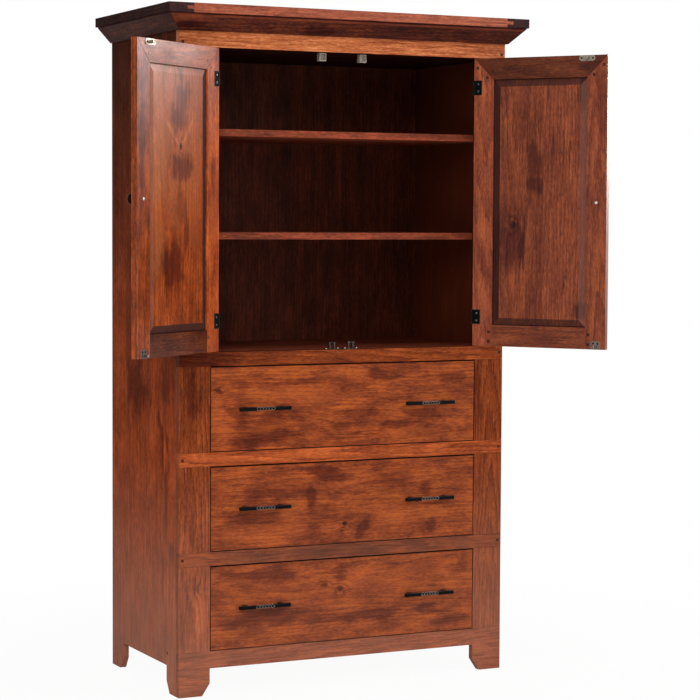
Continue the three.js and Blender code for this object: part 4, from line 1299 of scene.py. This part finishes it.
def dovetailWood():
    look = dovetailLook
    s = newShader("dovetail_end_grain")
    place = s.put("TexCoord").outputs["Object"]
    speck = s.noise(place, look["speck"], detail=3)
    rings = s.noise(place, *look["rings"], detail=2)
    colour = s.mix(s.ease(rings, *look["ringEase"]), tint(*look["pale"]), tint(*look["dull"]))
    colour = s.mix(s.ease(speck, *look["speckEase"]), colour, tint(*look["dark"]))
    return s.coat(colour, look["rough"], s.bump(speck, *look["bump"]))


def dovetails(row, material):
    low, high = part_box("drawer_box_" + row)
    look = dovetailLook
    pitch = (high.z - low.z) / look["count"]
    copies = []
    for i in range(look["count"]):
        z = low.z + pitch * (i + 0.5)
        for x, way in ((low.x, -1), (high.x, 1)):
            for y, inward in ((low.y, 1), (high.y, -1)):
                end = y + inward * look["wall"]
                outline = [(y, z - look["narrow"] / 2), (end, z - look["wide"] / 2),
                           (end, z + look["wide"] / 2), (y, z + look["narrow"] / 2)]
                points = [Vector((x - way * look["sunk"], a, b)) for a, b in outline]
                points += [Vector((x + way * look["proud"], a, b)) for a, b in outline]
                copies.append(((points, stackFaces(2, 4)), Matrix.Identity(4)))
    addPiece("dovetails_" + row, copies, material, "drawer_" + row)


endGrain = dovetailWood()
for row in drawerFronts:
    dovetails(row, endGrain)
backScrews()
print("drawer boxes jointed, back screwed on")

# Floor, sky and lamps
studio = {
    "floor": (238, 237, 235),
    "floorPatch": (244, 243, 241),
    "patchSize": 3.0,
    "patchEase": (0.3, 0.7),
    "floorRough": 0.9,
    "floorShine": 0.1,
    "floorDrop": 0.0004,
    "reach": 14,
    "fade": (0.5, 2.4, 0.95, 1.0),  # from and to which distance it turns white, and how white it is there
    "sky": 0.36,
    "lamps": {
        "key": {"at": (-2.6, -4.2, 3.2), "aim": (0, 0, 1.0), "size": (2.4, 2.4), "power": 76},
        "fill": {"at": (3.4, -3.2, 2.4), "aim": (0, 0, 1.2), "size": (2.0, 2.6), "power": 78},
        "low": {"at": (-1.6, -2.6, 0.7), "aim": (-0.2, 0, 0.3), "size": (2.4, 0.8), "power": 16},
        "sheen": {"at": (4.4, 0.0, 2.6), "aim": (-0.6, -0.5, 1.7), "size": (1.6, 1.8), "power": 600,
                  "glossOnly": True},
        "above": {"at": (0, -1.4, 4.4), "aim": (0, 0, 0), "size": (3.0, 2.0), "power": 34},
    },
}


def seenDirectly(s):  # 1 for rays from the camera and for what metal and glass show
    light = s.put("LightPath").outputs
    either = s.larger(light["Is Camera Ray"], light["Is Glossy Ray"])
    return s.larger(either, light["Is Transmission Ray"])


def setSky():
    scene.world = bpy.data.worlds.new("studio_sky")
    s = Shader(scene.world)
    strength = s.ease(seenDirectly(s), 0.0, 1.0, studio["sky"], 1.0)
    glow = s.put("Background", {"Color": (1, 1, 1, 1), "Strength": strength})
    s.put("OutputWorld", {"Surface": glow.outputs[0]})


def floorFinish():  # it turns into the white background away from the armoire
    s = newShader("studio_floor")
    place = s.put("TexCoord").outputs["Object"]
    patches = s.ease(s.noise(place, studio["patchSize"], detail=3), *studio["patchEase"])
    colour = s.mix(patches, tint(*studio["floor"]), tint(*studio["floorPatch"]))
    facts = {"Base Color": colour, "Roughness": studio["floorRough"],
             "Specular IOR Level": studio["floorShine"]}
    matt = s.put("BsdfPrincipled", facts).outputs["BSDF"]
    white = s.put("Emission", {"Color": (1, 1, 1, 1), "Strength": 1.0}).outputs[0]
    away = s.vector("LENGTH", s.vector("MULTIPLY", place, (1, 1, 0)))
    share = s.times(seenDirectly(s), s.ease(away, *studio["fade"]))
    return s.finish(s.put("MixShader", {0: share, 1: matt, 2: white}).outputs[0])


def setFloor():
    half = studio["reach"]
    mesh = bpy.data.meshes.new("studio_floor")
    corners = [(x * half, y * half, -studio["floorDrop"]) for x, y in ((-1, -1), (1, -1), (1, 1), (-1, 1))]
    mesh.from_pydata(corners, [], [(0, 1, 2, 3)])
    mesh.materials.append(floorFinish())
    floor = bpy.data.objects.new("studio_floor", mesh)
    scene.collection.objects.link(floor)


def setLamps():
    for name, facts in studio["lamps"].items():
        lamp = bpy.data.lights.new(name, "AREA")
        lamp.shape = "RECTANGLE"
        lamp.size, lamp.size_y = facts["size"]
        lamp.energy = facts["power"]
        holder = bpy.data.objects.new(name, lamp)
        holder.visible_diffuse = not facts.get("glossOnly", False)
        place = Vector(facts["at"])
        holder.matrix_world = facing(place - Vector(facts["aim"]), place)
        scene.collection.objects.link(holder)


setSky()
setFloor()
setLamps()
print("studio lit")
